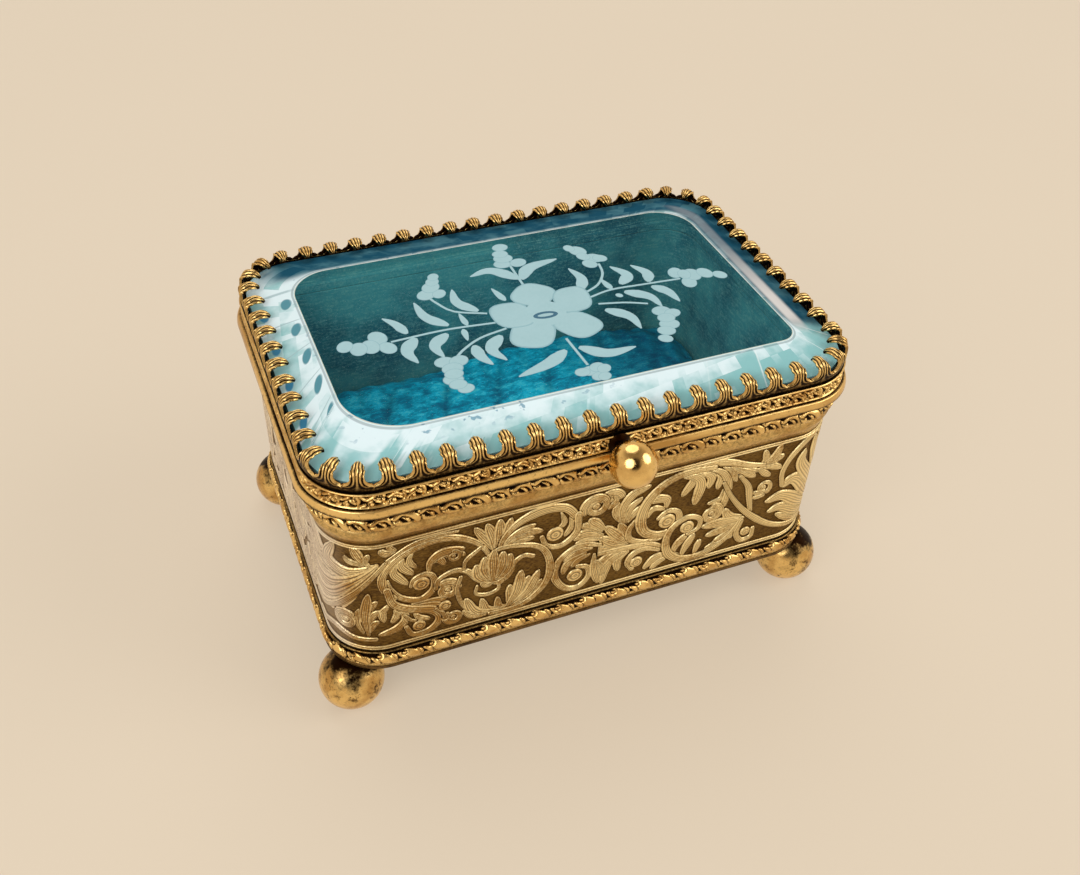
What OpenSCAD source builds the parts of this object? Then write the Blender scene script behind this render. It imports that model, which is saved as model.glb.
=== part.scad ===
// Small glazed jewel casket: cast brass sides with a carved frieze, ball feet,
// a silk lining and cushion, and a hinged lid with a bevelled pane held by a prong gallery.
// Millimetres, +Z up, front towards -Y, origin under the middle of the whole box on the ground.

/* [Casket] */
// Length over the bottom moulding
body_length = 120; // [110:1:130]
// Depth over the bottom moulding
body_depth = 81; // [76:1:88]
// Corner radius of the bottom moulding
corner_radius = 13; // [12.5:0.5:14]
// Height of the brass side wall
wall_height = 40; // [34:1:46]
// Thickness of the side wall
wall_thick = 2; // [1.6:0.1:2.2]
// Distance that the mouldings stand proud of the wall
moulding_reach = 1.8; // [1.4:0.1:2.2]
// Radius of the mouldings' half-round bead
bead_radius = 1.9; // [1.7:0.05:2]
// How far the fine ridge lines stand out of the wall
ridge_reach = 0.35; // [0.2:0.05:0.6]

/* [Feet] */
// Radius of the ball feet
foot_radius = 7.25; // [6.8:0.05:7.6]
// Depth of the worn flat under each ball
foot_wear = 0.3; // [0.2:0.05:0.5]
// Distance of a foot's centre from the end of the bottom moulding
foot_inset_x = 4.4; // [4.2:0.1:5.2]
// Distance of a foot's centre from the front or back of the bottom moulding
foot_inset_y = 6.6; // [6.2:0.1:7.2]
// Radius of the screwed stud in each foot
stud_radius = 1.25; // [1:0.05:1.3]

/* [Lid] */
// Open gap between the casket's rim and the lid, where the hinge leaves lie
lid_gap = 1.6; // [1.5:0.1:2]
// Height of the smooth flange round the foot of the lid
flange_height = 1.9; // [1.6:0.1:2.2]
// Height of the filigree band
band_height = 3.7; // [3.4:0.1:4.2]
// How far the flange stands out past the bottom moulding
flange_overhang = 1.4; // [1:0.1:1.6]
// Number of prongs round the gallery
prong_count = 64; // [56:4:68]
// Height of the prongs above their strip
prong_rise = 3.7; // [3.4:0.1:4]
// Thickness of the prong metal
prong_thick = 1; // [0.8:0.1:1.1]

/* [Glass] */
// Thickness of the pane at its edge
glass_edge = 1.4; // [1.2:0.1:1.6]
// Thickness of the pane at its flat table
glass_thick = 4.1; // [3.8:0.1:4.6]
// Width of the bevel along the long sides
bevel_width = 10.2; // [9:0.1:11]

/* [Knob] */
// Radius of the ball knob
knob_radius = 4.7; // [4.2:0.1:5]
// Distance from the filigree band to the middle of the knob
knob_stand = 6.8; // [6.3:0.1:7.2]
// Distance of the knob from the middle of the front, to the right
knob_offset = 1.2; // [0:0.1:2]

/* [Hinge] */
// Length of the hinge barrel
hinge_length = 40; // [30:1:60]
// Radius of the hinge barrel
barrel_radius = 1.4; // [1.3:0.05:1.4]
// Radius of the hinge pin
pin_radius = 0.6; // [0.5:0.05:0.7]
// Running clearance round the pin
pin_clearance = 0.05; // [0.03:0.01:0.08]

/* [Lining] */
// Thickness of the silk lining on its card
lining_thick = 0.8; // [0.6:0.1:1]
// Height of the cushion at its edge
cushion_edge = 12; // [10:0.5:14]
// Height that the cushion's crown rises above its edge
cushion_crown = 6; // [4:0.5:7]
// Number of gathers round the cushion
gather_count = 30; // [24:1:32]
// Depth of the gathers
gather_depth = 0.9; // [0.4:0.1:1.2]

/* [Hidden] */

// Every ring shares the four corner centres, so a ring is given by its distances from them
corner_x = body_length / 2 - corner_radius;
corner_y = body_depth / 2 - corner_radius;
arc_steps = 64;

// Distances from the corner centres
wall_out = corner_radius - moulding_reach;
wall_in = wall_out - wall_thick;
lining_in = wall_in - lining_thick;
plate_out = corner_radius - 0.6;
flange_out = corner_radius + flange_overhang;
band_out = corner_radius + 0.3;
band_in = band_out - 1.7;
ledge_in = band_in - 2;
gallery_out = corner_radius - 0.1;
gallery_in = gallery_out - prong_thick - 0.1;
glass_out = gallery_in - 0.3;

// Step of the mouldings' plain edge back from the bead, and the fine ridges beside them
bead_step = 0.8;
ridge_width = 0.35;
ridge_pitch = 0.7;

// Cove under the upper bead: its first step out of the wall, its quirk's height and its full reach
cove_step = 0.2;
cove_quirk = 1.6;
cove_reach = 1.2;

// Rounded shoulder of the lid's flange, and the filigree band's field, set back between two fillets
flange_shoulder = 0.5;
flange_gap = 0.2;
fillet_step = 0.4;
fillet_height = 0.5;

// How far a cutting shape runs past the faces that it cuts
cut = 1;

// Levels above the ground
plate_thick = 0.8;
foot_z = foot_radius - foot_wear;
plate_z = foot_z + foot_radius - 0.4;
frame_z = plate_z + plate_thick;
frame_thick = 2.2;
wall_z = frame_z + frame_thick;
wall_top = wall_z + wall_height;
bead_gap = 0.2;
lower_top = frame_z + 2 * (bead_radius + bead_gap);
cove_z = wall_top - 5.6;
upper_z = wall_top - 1.6;
rim_z = upper_z + 2 * (bead_radius + bead_gap);
lid_z = rim_z + lid_gap;
band_z = lid_z + flange_height;
strip_z = band_z + band_height;
strip_height = 1.8;
prong_z = strip_z + strip_height;
ledge_top = strip_z + 0.3;
lid_rest = 0.05;
seat_depth = 2.4;
seat_z = rim_z - seat_depth;

// Feet
foot_x = body_length / 2 - foot_inset_x;
foot_y = body_depth / 2 - foot_inset_y;
stud_bore = stud_radius + 0.05;
stud_depth = 1.8;
stud_length = 8;
stud_z = frame_z + stud_depth - stud_length;

// Hinge
axis_y = corner_y + flange_out + 0.3 + barrel_radius;
axis_z = rim_z + lid_gap / 2;
leaf_thick = 0.5;
leaf_in = 11.1;
knuckle_count = 5;
knuckle_gap = 0.15;
knuckle_root = 0.5;
pin_head = 0.5;
pin_head_radius = 1.1;
pin_float = 0.1;
knuckle_pitch = hinge_length / knuckle_count;
bore_radius = pin_radius + pin_clearance;

// Knob and its screw
knob_y = -(corner_y + band_out + knob_stand);
knob_rise = 1.75;
knob_z = band_z + knob_rise;
neck_radius = 1.2;
neck_sink = 0.4;
screw_radius = 0.8;
screw_bore = screw_radius + 0.05;
screw_head = 1;
screw_head_radius = 1.5;

// The knob reaches further forward than the hinge reaches back, so all is moved to centre the box
centre_y = (-(knob_y - knob_radius) - (axis_y + barrel_radius)) / 2;

// Gallery of prongs
gallery_mid = (gallery_out + gallery_in) / 2;
corner_arc = 90 * gallery_mid * PI / 180;
quarter_run = corner_x + corner_arc + corner_y;
prong_pitch = 4 * quarter_run / prong_count;

// A section along a prong: [distance from the corner centres, height, share of the pitch it fills]
prong_rows = [
    [gallery_mid, strip_z, 0.78],
    [gallery_mid, prong_z, 0.78],
    [gallery_mid, prong_z + 0.45 * prong_rise, 0.5],
    [gallery_mid - 0.5, prong_z + 0.8 * prong_rise, 0.46],
    [gallery_mid - 1.5, prong_z + 0.9 * prong_rise, 0.5],
    [gallery_mid - 2.7, prong_z + 0.62 * prong_rise, 0.56],
    [gallery_mid - 3.3, prong_z + 0.3 * prong_rise, 0.4]
];
// Direction from the middle of the prong's metal to its outer face at each of those rows
prong_lean = [0, 0, 10, 55, 100, 135, 135];

// Cushion: how far its sides draw in, how square its corners are, and the shares of its outline
cushion_out = lining_in - 0.3;
cushion_z = frame_z + 1;
cushion_pull = 1.6;
cushion_square = 7;
cushion_points = 120;
cushion_rings = 8;
cushion_foot = 0.95;
cushion_brow = 0.985;
cushion_waist = 0.55;
cushion_roll = 1.2;
roll_share = 0.06;
gather_sway = 50;

brass = [0.80, 0.62, 0.33];
pale_brass = [0.86, 0.72, 0.50];
dark_brass = [0.52, 0.39, 0.20];
silk = [0.22, 0.41, 0.42];
satin = [0.02, 0.50, 0.65];

// Moves a piece from the middle of the casket to its place in the centred box
module seated() {
    translate([0, centre_y, 0]) children();
}

// Straight run of a ring's section, on the side that faces +Y
module run(half_length, offset) {
    translate([-half_length, offset, 0])
        rotate([90, 0, 90])
            linear_extrude(2 * half_length)
                children();
}

// Carries a section, drawn as [distance from the corner centres, height], all the way round
module ring() {
    for (turn = [0, 180]) {
        rotate(turn) run(corner_x, corner_y) children();
        rotate(turn + 90) run(corner_y, corner_x) children();
        rotate(turn) translate([corner_x, corner_y, 0]) rotate_extrude(angle = 90, $fn = arc_steps) children();
        rotate(turn) translate([-corner_x, corner_y, 0]) rotate(90)
            rotate_extrude(angle = 90, $fn = arc_steps) children();
    }
}

// Square section of a ring
module band(inside, outside, low, high) {
    translate([inside, low]) square([outside - inside, high - low]);
}

// Flat plate with the corners of a ring
module plate(outside, thick) {
    linear_extrude(thick) {
        square([2 * (corner_x + outside), 2 * corner_y], center = true);
        square([2 * corner_x, 2 * (corner_y + outside)], center = true);
        for (x = [-corner_x, corner_x], y = [-corner_y, corner_y])
            translate([x, y]) circle(outside, $fn = arc_steps);
    }
}

// Puts something at each of the four feet
module at_feet() {
    for (x = [-foot_x, foot_x], y = [-foot_y, foot_y])
        translate([x, y, 0]) children();
}

// Lies a turned piece along X, its start at the given place
module along_x(x) {
    translate([x, axis_y, axis_z]) rotate([0, 90, 0]) children();
}

// Lies a turned piece along Y, pointing to the front, its start at distance y from the middle
module to_front(y) {
    translate([knob_offset, y, knob_z]) rotate([90, 0, 0]) children();
}

module base_plate() color(dark_brass) seated() difference() {
    translate([0, 0, plate_z]) plate(plate_out, plate_thick);
    translate([0, 0, plate_z - cut]) at_feet() cylinder(h = plate_thick + 2 * cut, r = stud_bore, $fn = 32);
}

// Section of the space that the side wall fills, cut out of both mouldings
module wall_space() {
    band(0, wall_out, wall_z, wall_top);
}

// Section of a half-round bead above the given level
module bead(low) {
    translate([corner_radius - bead_radius, low + bead_gap + bead_radius]) circle(bead_radius, $fn = 48);
}

module bottom_moulding() color(brass) seated() difference() {
    ring() difference() {
        union() {
            band(wall_in, corner_radius - bead_step, frame_z, lower_top);
            bead(frame_z);
        }
        wall_space();
    }
    translate([0, 0, frame_z - cut]) at_feet() cylinder(h = stud_depth + cut, r = stud_bore, $fn = 32);
}

module side_wall() color(pale_brass) seated() ring() {
    band(wall_in, wall_out, wall_z, wall_top);
    for (z = [lower_top + ridge_pitch / 2, cove_z - 1.5 * ridge_pitch], step = [0, ridge_pitch])
        band(wall_in, wall_out + ridge_reach, z + step, z + step + ridge_width);
}

module top_moulding() color(brass) seated() ring() difference() {
    union() {
        polygon([
            [wall_in, cove_z],
            [wall_out + cove_step, cove_z],
            [wall_out + 2 * cove_step, cove_z + cove_quirk],
            [wall_out + cove_reach, upper_z],
            [corner_radius - bead_step, upper_z],
            [corner_radius - bead_step, rim_z],
            [wall_in, rim_z]
        ]);
        bead(upper_z);
    }
    wall_space();
}

module seating_rim() color(dark_brass) seated() ring() band(lining_in, wall_in, seat_z, lid_z - lid_rest);

module foot_at(x, y) color(brass) seated() translate([x, y, 0]) difference() {
    translate([0, 0, foot_z]) sphere(foot_radius, $fn = 96);
    translate([0, 0, -foot_radius]) cube(2 * foot_radius, center = true);
    translate([0, 0, plate_z + foot_radius]) cube(2 * foot_radius, center = true);
    translate([0, 0, stud_z]) cylinder(h = stud_length, r = stud_bore, $fn = 32);
}
module foot_front_left() foot_at(-foot_x, -foot_y);
module foot_front_right() foot_at(foot_x, -foot_y);
module foot_back_left() foot_at(-foot_x, foot_y);
module foot_back_right() foot_at(foot_x, foot_y);

// One screwed stud a foot, from inside the ball through the plate into the moulding's frame
module foot_studs() color(dark_brass) seated() at_feet()
    translate([0, 0, stud_z]) cylinder(h = stud_length, r = stud_radius, $fn = 32);

module wall_lining() color(silk) seated() ring() band(lining_in, wall_in, cushion_z, seat_z);

module base_card() color(satin) seated() translate([0, 0, frame_z]) plate(wall_in, cushion_z - frame_z);

// Outline of the cushion seen from above at a share of its full size, drawn in between its corners
function cushion_spot(turn, share) =
    let (
        x = cos(turn),
        y = sin(turn),
        reach = 1 / pow(pow(abs(x), cushion_square) + pow(abs(y), cushion_square), 1 / cushion_square),
        draw = 1 - cushion_pull / (corner_y + cushion_out) * pow(cos(2 * turn), 2)
    )
    [(corner_x + cushion_out) * x * reach * draw * share, (corner_y + cushion_out) * y * reach * draw * share];

// Height of the cushion's top: a crown, and gathers that run in from the edge
function cushion_top(turn, share) =
    cushion_z + cushion_edge
    + cushion_crown * (1 - pow(share, 2.4))
    - gather_depth * pow(share, 3) * (1 + cos(gather_count * turn + gather_sway * sin(3 * turn)));

cushion_shares = [
    for (k = [0:cushion_rings - 1])
        k == 0 ? 1 : (1 - roll_share) * (1 - (k - 1) / (cushion_rings - 1))
];
cushion_turns = [for (j = [0:cushion_points - 1]) 360 * j / cushion_points];

module base_cushion() {
    low = [for (t = cushion_turns) concat(cushion_spot(t, cushion_foot), cushion_z)];
    waist = [for (t = cushion_turns) concat(cushion_spot(t, 1), cushion_z + cushion_waist * cushion_edge)];
    rows = [
        for (k = [0:cushion_rings - 1], t = cushion_turns)
            let (share = cushion_shares[k], roll = k == 0 ? cushion_roll : 0)
            concat(cushion_spot(t, share * cushion_brow), cushion_top(t, share) - roll)
    ];
    spots = concat(low, waist, rows, [[0, 0, cushion_z + cushion_edge + cushion_crown]]);
    n = cushion_points;
    levels = cushion_rings + 2;
    sides = [for (k = [0:levels - 2], j = [0:n - 1])
        each [
            [k * n + j, (k + 1) * n + (j + 1) % n, k * n + (j + 1) % n],
            [k * n + j, (k + 1) * n + j, (k + 1) * n + (j + 1) % n]
        ]];
    cap = [for (j = [0:n - 1]) [(levels - 1) * n + j, levels * n, (levels - 1) * n + (j + 1) % n]];
    floor_face = [[for (j = [0:n - 1]) j]];
    color(satin) seated() polyhedron(spots, concat(sides, cap, floor_face));
}

// True for the knuckles that belong to the casket
function on_body(k) = k % 2 == 0;

// One leaf of the hinge with its own knuckles, bored for the pin
module hinge_leaf(low, own) {
    difference() {
        union() {
            translate([-hinge_length / 2, corner_y + leaf_in, low])
                cube([hinge_length, flange_out - leaf_in, leaf_thick]);
            for (k = [0:knuckle_count - 1]) if (on_body(k) == own) {
                start = -hinge_length / 2 + k * knuckle_pitch + knuckle_gap / 2;
                translate([start, corner_y + flange_out - knuckle_root, low])
                    cube([knuckle_pitch - knuckle_gap, axis_y - corner_y - flange_out + knuckle_root, leaf_thick]);
                along_x(start) cylinder(h = knuckle_pitch - knuckle_gap, r = barrel_radius, $fn = 48);
            }
        }
        along_x(-hinge_length) cylinder(h = 2 * hinge_length, r = bore_radius, $fn = 48);
    }
}

module hinge_leaf_body() color(dark_brass) seated() hinge_leaf(rim_z, true);

module hinge_leaf_lid() color(dark_brass) seated() hinge_leaf(lid_z - leaf_thick, false);

module hinge_pin() color(dark_brass) seated() {
    pin_end = hinge_length / 2 + pin_float + pin_head;
    along_x(-pin_end) cylinder(h = 2 * pin_end, r = pin_radius, $fn = 48);
    for (x = [-pin_end, pin_end - pin_head])
        along_x(x) cylinder(h = pin_head, r = pin_head_radius, $fn = 48);
}

module lid_flange() color(brass) seated() ring() polygon([
    [lining_in + flange_gap, lid_z],
    [flange_out, lid_z],
    [flange_out, lid_z + flange_shoulder],
    [flange_out - flange_shoulder, band_z],
    [lining_in + flange_gap, band_z]
]);

// Clearance hole for the knob's screw through the front of a ring
module screw_hole() {
    to_front(0) cylinder(h = corner_y + 2 * corner_radius, r = screw_bore, $fn = 32);
}

module filigree_band() color(pale_brass) seated() difference() {
    ring() {
        band(band_in, band_out - fillet_step, band_z, strip_z);
        for (z = [band_z, strip_z - fillet_height])
            band(band_in, band_out, z, z + fillet_height);
    }
    screw_hole();
}

module glass_ledge() color(dark_brass) seated() difference() {
    ring() band(ledge_in, band_in, band_z, ledge_top);
    screw_hole();
}

// A place on the ring at a distance along its quarter, seen from the middle of the +Y side clockwise
function quarter_spot(along, out) =
    along < corner_x ? [along, corner_y + out]
    : along < corner_x + corner_arc
        ? let (turn = 90 - (along - corner_x) / corner_arc * 90)
            [corner_x + out * cos(turn), corner_y + out * sin(turn)]
    : [corner_x + out, corner_y - (along - corner_x - corner_arc)];

// The same for a distance along the whole ring, which is two quarters and their mirror images
function ring_spot(along, out) =
    let (
        lap = (along + 8 * quarter_run) % (4 * quarter_run),
        part = floor(lap / quarter_run),
        rest = lap - part * quarter_run,
        spot = quarter_spot(part % 2 == 0 ? rest : quarter_run - rest, out)
    )
    [part < 2 ? spot[0] : -spot[0], part == 0 || part == 3 ? spot[1] : -spot[1]];

// Corner of a prong: its row, its left or right edge, and its outer or inner face
function prong_corner(index, row, edge, face) =
    let (
        section = prong_rows[row],
        along = (index + 0.5 + edge * section[2] / 2) * prong_pitch,
        shift = face * prong_thick / 2,
        out = section[0] + shift * cos(prong_lean[row]),
        high = section[1] + shift * sin(prong_lean[row])
    )
    concat(ring_spot(along, out), high);

// Skin between two sets of four corners, each set in order: left outer, right outer, right inner, left inner
function skin(low, high, sides) =
    [for (s = sides) [low[s], low[(s + 1) % 4], high[(s + 1) % 4], high[s]]];

// A strip with a row of prongs that rise from it and curl in over the glass, as one closed skin
module prong_gallery() {
    rows = len(prong_rows);
    spots = [for (i = [0:prong_count - 1], r = [0:rows - 1])
        each [prong_corner(i, r, -1, 1), prong_corner(i, r, 1, 1),
            prong_corner(i, r, 1, -1), prong_corner(i, r, -1, -1)]];
    faces = [for (i = [0:prong_count - 1])
        let (
            here = [for (r = [0:rows - 1]) [for (s = [0:3]) (i * rows + r) * 4 + s]],
            next = ((i + 1) % prong_count) * rows * 4,
            gap_low = [here[0][1], next, next + 3, here[0][2]],
            gap_high = [here[1][1], next + 4, next + 7, here[1][2]],
            tip = here[rows - 1]
        )
        each concat(
            skin(gap_low, gap_high, [0, 2]),
            skin(here[0], here[1], [0, 2]),
            [for (r = [1:rows - 2]) each skin(here[r], here[r + 1], [0:3])],
            [gap_high, tip],
            [for (low = [here[0], gap_low]) [low[3], low[2], low[1], low[0]]]
        )];
    color(brass) seated() polyhedron(spots, faces);
}

// Pane with a flat edge and a wide bevel up to its table, whose corners are rounder than an even bevel's
module glass_pane() {
    table_corner = 9;
    table_x = corner_x + glass_out - bevel_width + 0.7;
    table_y = corner_y + glass_out - bevel_width;
    color([0.62, 0.80, 0.82, 0.6]) seated() translate([0, 0, ledge_top]) {
        plate(glass_out, glass_edge);
        hull() {
            translate([0, 0, glass_edge]) plate(glass_out, 0.01);
            for (x = [-1, 1], y = [-1, 1])
                translate([x * (table_x - table_corner), y * (table_y - table_corner), glass_thick - 0.01])
                    cylinder(h = 0.01, r = table_corner, $fn = 32);
        }
    }
}

module knob() color(brass) seated() difference() {
    union() {
        translate([knob_offset, knob_y, knob_z]) sphere(knob_radius, $fn = 96);
        to_front(-(corner_y + band_out - neck_sink)) cylinder(h = knob_stand, r = neck_radius, $fn = 48);
    }
    to_front(0) cylinder(h = -knob_y, r = screw_bore, $fn = 32);
}

module knob_screw() color(dark_brass) seated() {
    inner_face = corner_y + ledge_in;
    to_front(-inner_face) cylinder(h = -knob_y - inner_face - screw_head, r = screw_radius, $fn = 32);
    to_front(screw_head - inner_face) cylinder(h = screw_head, r = screw_head_radius, $fn = 32);
}

base_plate();
bottom_moulding();
side_wall();
top_moulding();
seating_rim();
foot_front_left();
foot_front_right();
foot_back_left();
foot_back_right();
foot_studs();
wall_lining();
base_card();
base_cushion();
hinge_leaf_body();
hinge_pin();
lid_flange();
filigree_band();
glass_ledge();
prong_gallery();
glass_pane();
knob();
knob_screw();
hinge_leaf_lid();
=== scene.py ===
"""Dresses a small glazed jewel casket: carved brass sides, ball feet, a silk lining and a bevelled glass lid.

Laid out as an add-on and run as a script. Shapes are worked out in millimetres and stored in metres.
"""

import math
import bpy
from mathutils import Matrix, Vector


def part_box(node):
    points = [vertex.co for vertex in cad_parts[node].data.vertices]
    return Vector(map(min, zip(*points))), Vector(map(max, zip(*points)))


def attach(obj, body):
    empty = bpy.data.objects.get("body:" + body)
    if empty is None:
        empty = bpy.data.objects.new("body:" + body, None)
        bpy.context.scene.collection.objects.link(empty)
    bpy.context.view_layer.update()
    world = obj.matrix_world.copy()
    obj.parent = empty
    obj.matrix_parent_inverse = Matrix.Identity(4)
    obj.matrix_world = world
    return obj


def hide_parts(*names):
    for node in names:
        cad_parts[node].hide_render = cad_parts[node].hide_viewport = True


bl_info = {
    "name": "Glazed jewel casket",
    "version": (1, 0, 0),
    "blender": (4, 5, 0),
    "location": "3D View > Sidebar > Casket",
    "description": "Builds the visible pieces of a small brass casket round its packed frame",
    "category": "Object",
}

import bmesh
import bpy
import numpy as np
from mathutils import Matrix, Vector

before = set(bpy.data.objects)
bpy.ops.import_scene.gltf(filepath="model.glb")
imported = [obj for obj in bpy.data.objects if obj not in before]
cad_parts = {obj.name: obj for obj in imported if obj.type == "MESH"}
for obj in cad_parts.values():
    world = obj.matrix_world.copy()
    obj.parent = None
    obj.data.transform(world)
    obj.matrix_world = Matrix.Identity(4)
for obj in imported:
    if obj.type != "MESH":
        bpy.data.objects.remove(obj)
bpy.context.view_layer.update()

MM = 0.001
CORNER_RADIUS = 13.0


def corners(node):
    """Lowest and highest corner of a node of the frame, in millimetres."""
    low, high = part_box(node)
    return Vector(low) / MM, Vector(high) / MM


def level(node, top=False):
    """Height of a node's underside, or of its top, in millimetres."""
    return corners(node)[top].z


# The corner centres that every ring of the casket shares
BOTTOM_LOW, BOTTOM_HIGH = corners("bottom_moulding")
MID_Y = (BOTTOM_LOW.y + BOTTOM_HIGH.y) / 2
CORNER_X = BOTTOM_HIGH.x - CORNER_RADIUS
CORNER_Y = BOTTOM_HIGH.y - MID_Y - CORNER_RADIUS

# Distances from the corner centres
WALL_OUT = 11.2
WALL_IN = 9.2
BEAD_RADIUS = 1.9
BEAD_OUT = CORNER_RADIUS - BEAD_RADIUS
BAND_OUT = corners("filigree_band")[1].x - CORNER_X
FLANGE_OUT = corners("lid_flange")[1].x - CORNER_X
LINING_IN = 8.4
GLASS_OUT = corners("glass_pane")[1].x - CORNER_X
GALLERY_OUT = corners("prong_gallery")[1].x - CORNER_X

# Levels above the ground
FRAME_Z = level("bottom_moulding")
LOWER_TOP = level("bottom_moulding", True)
WALL_LOW = level("side_wall")
WALL_HIGH = level("side_wall", True)
COVE_Z = level("top_moulding")
RIM_Z = level("top_moulding", True)
LID_Z = level("lid_flange")
BAND_Z = level("filigree_band")
STRIP_Z = level("filigree_band", True)
GLASS_Z = level("glass_pane")
TABLE_Z = level("glass_pane", True)

QUARTER = CORNER_X + CORNER_Y + math.pi / 2 * WALL_OUT
FRIEZE_LOW = LOWER_TOP + 1.5
FRIEZE_HIGH = COVE_Z - 1.2


def length(name, description, default):
    """A length property with its default in millimetres."""
    return bpy.props.FloatProperty(name=name, description=description, default=default * MM, unit="LENGTH")


class CasketSizes(bpy.types.PropertyGroup):
    """Sizes of the detail that the frame leaves out."""

    relief: length("Frieze relief", "How far the carving stands out of its ground", 0.65)
    carving_grid: length("Carving grid", "Spacing of the points that the carving is cut with", 0.2)
    bead_relief: length("Bead relief", "Depth of the leafwork on the two beads", 0.75)
    filigree_relief: length("Filigree relief", "Depth behind the strands of the lid's band", 1.0)
    prongs: bpy.props.IntProperty(name="Prongs", description="Number of prongs round the glass", default=64)
    notch_radius: length("Notch radius", "Radius of the round notch between two prongs", 1.68)
    prong_thickness: length("Prong thickness", "Thickness of the prong metal", 0.6)
    etching: length("Etching", "Thickness given to the etched flower on the glass", 0.05)
    foot_radius: length("Foot radius", "Radius of the ball feet", 7.25)
    knob_radius: length("Knob radius", "Radius of the ball knob", 4.85)


def linear(red, green, blue):
    """A colour given as on a screen, from 0 to 255, as the shader's linear values."""
    return tuple(((c / 255 + 0.055) / 1.055) ** 2.4 if c > 10 else c / 3294.6 for c in (red, green, blue))


def colour(name, description, *screen):
    """A colour property with its default as on a screen."""
    return bpy.props.FloatVectorProperty(
        name=name, description=description, default=linear(*screen), size=3, subtype="COLOR", min=0, max=1)


class CasketFinishes(bpy.types.PropertyGroup):
    """Colours of the finishes."""

    gilt: colour("Gilt brass", "Bright gilt on the high points", 246, 208, 134)
    gilt_worn: colour("Worn gilt", "Browner gilt in cloudy patches", 176, 128, 62)
    gilt_spot: colour("Tarnish", "Dark spots of tarnish", 70, 40, 12)
    # Also the colour of the shade painted through the relief attribute
    gilt_deep: colour("Gilt in hollows", "Dark brown patina in the hollows", 30, 14, 3)
    pale: colour("Pale gilt", "Worn flat tops of the carving", 255, 228, 164)
    pale_worn: colour("Browned gilt", "Browner flat tops of the carving", 190, 146, 76)
    ground: colour("Matt ground", "Stippled ground behind the carving", 138, 106, 50)
    ground_deep: colour("Ground in shade", "Dark grain and foot of the carving", 58, 32, 6)
    aged: colour("Aged brass", "Unpolished brass inside and below", 128, 98, 52)
    silk: colour("Silk", "Lining of the walls", 66, 150, 154)
    satin: colour("Satin", "Cushion", 0, 208, 242)
    # The satin's tone between its painted sheen streaks; the folds' painted shade is mixed in later
    satin_deep: colour("Satin in folds", "Folds of the cushion", 0, 124, 160)
    glass: colour("Glass", "Tint of the pane's table", 120, 160, 165)
    bevel: colour("Bevel", "Pale light caught in the bevel", 222, 238, 240)
    bevel_deep: colour("Bevel in shade", "Teal light caught in the bevel", 140, 192, 192)
    etching: colour("Etching", "Frosted flower on the glass", 166, 200, 204)
    card: colour("Card", "Edge of the lining's card", 178, 160, 124)
    backdrop: colour("Backdrop", "Floor and background", 228, 211, 187)


def brightness(name, description, default):
    """A lamp's strength as a property."""
    return bpy.props.FloatProperty(name=name, description=description, default=default, unit="POWER")


class CasketStage(bpy.types.PropertyGroup):
    """Light on the casket."""

    left: brightness("Left light", "Strength of the large light on the left", 12)
    right: brightness("Right light", "Strength of the light on the right", 8)
    above: brightness("Light above", "Strength of the panel above", 7)
    sky: bpy.props.FloatProperty(
        name="Surroundings", description="Brightness of the surroundings", default=0.42, min=0, max=1)


def sizes():
    """The sizes that the panel shows."""
    return bpy.context.scene.casket_sizes


def finishes():
    """The colours that the panel shows."""
    return bpy.context.scene.casket_finishes


class Wire:
    """An output in a material's nodes. Arithmetic on it adds Math nodes."""

    def __init__(self, paint, socket):
        self.paint = paint
        self.socket = socket

    def maths(self, operation, *others):
        """A Math node of this value and others."""
        return self.paint.node("Math", {"operation": operation}, dict(enumerate((self, *others))))

    def __add__(self, other):
        return self.maths("ADD", other)

    __radd__ = __add__

    def __sub__(self, other):
        return self.maths("SUBTRACT", other)

    def __rsub__(self, other):
        return self.paint.node("Math", {"operation": "SUBTRACT"}, {0: other, 1: self})

    def __mul__(self, other):
        return self.maths("MULTIPLY", other)

    __rmul__ = __mul__

    def __truediv__(self, other):
        return self.maths("DIVIDE", other)

    def __abs__(self):
        return self.maths("ABSOLUTE")

    def between(self, low, high):
        """0 below one value, 1 above the other, and smooth from one to the other."""
        return self.paint.node(
            "MapRange", {"interpolation_type": "SMOOTHSTEP"}, {"Value": self, "From Min": low, "From Max": high})


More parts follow.
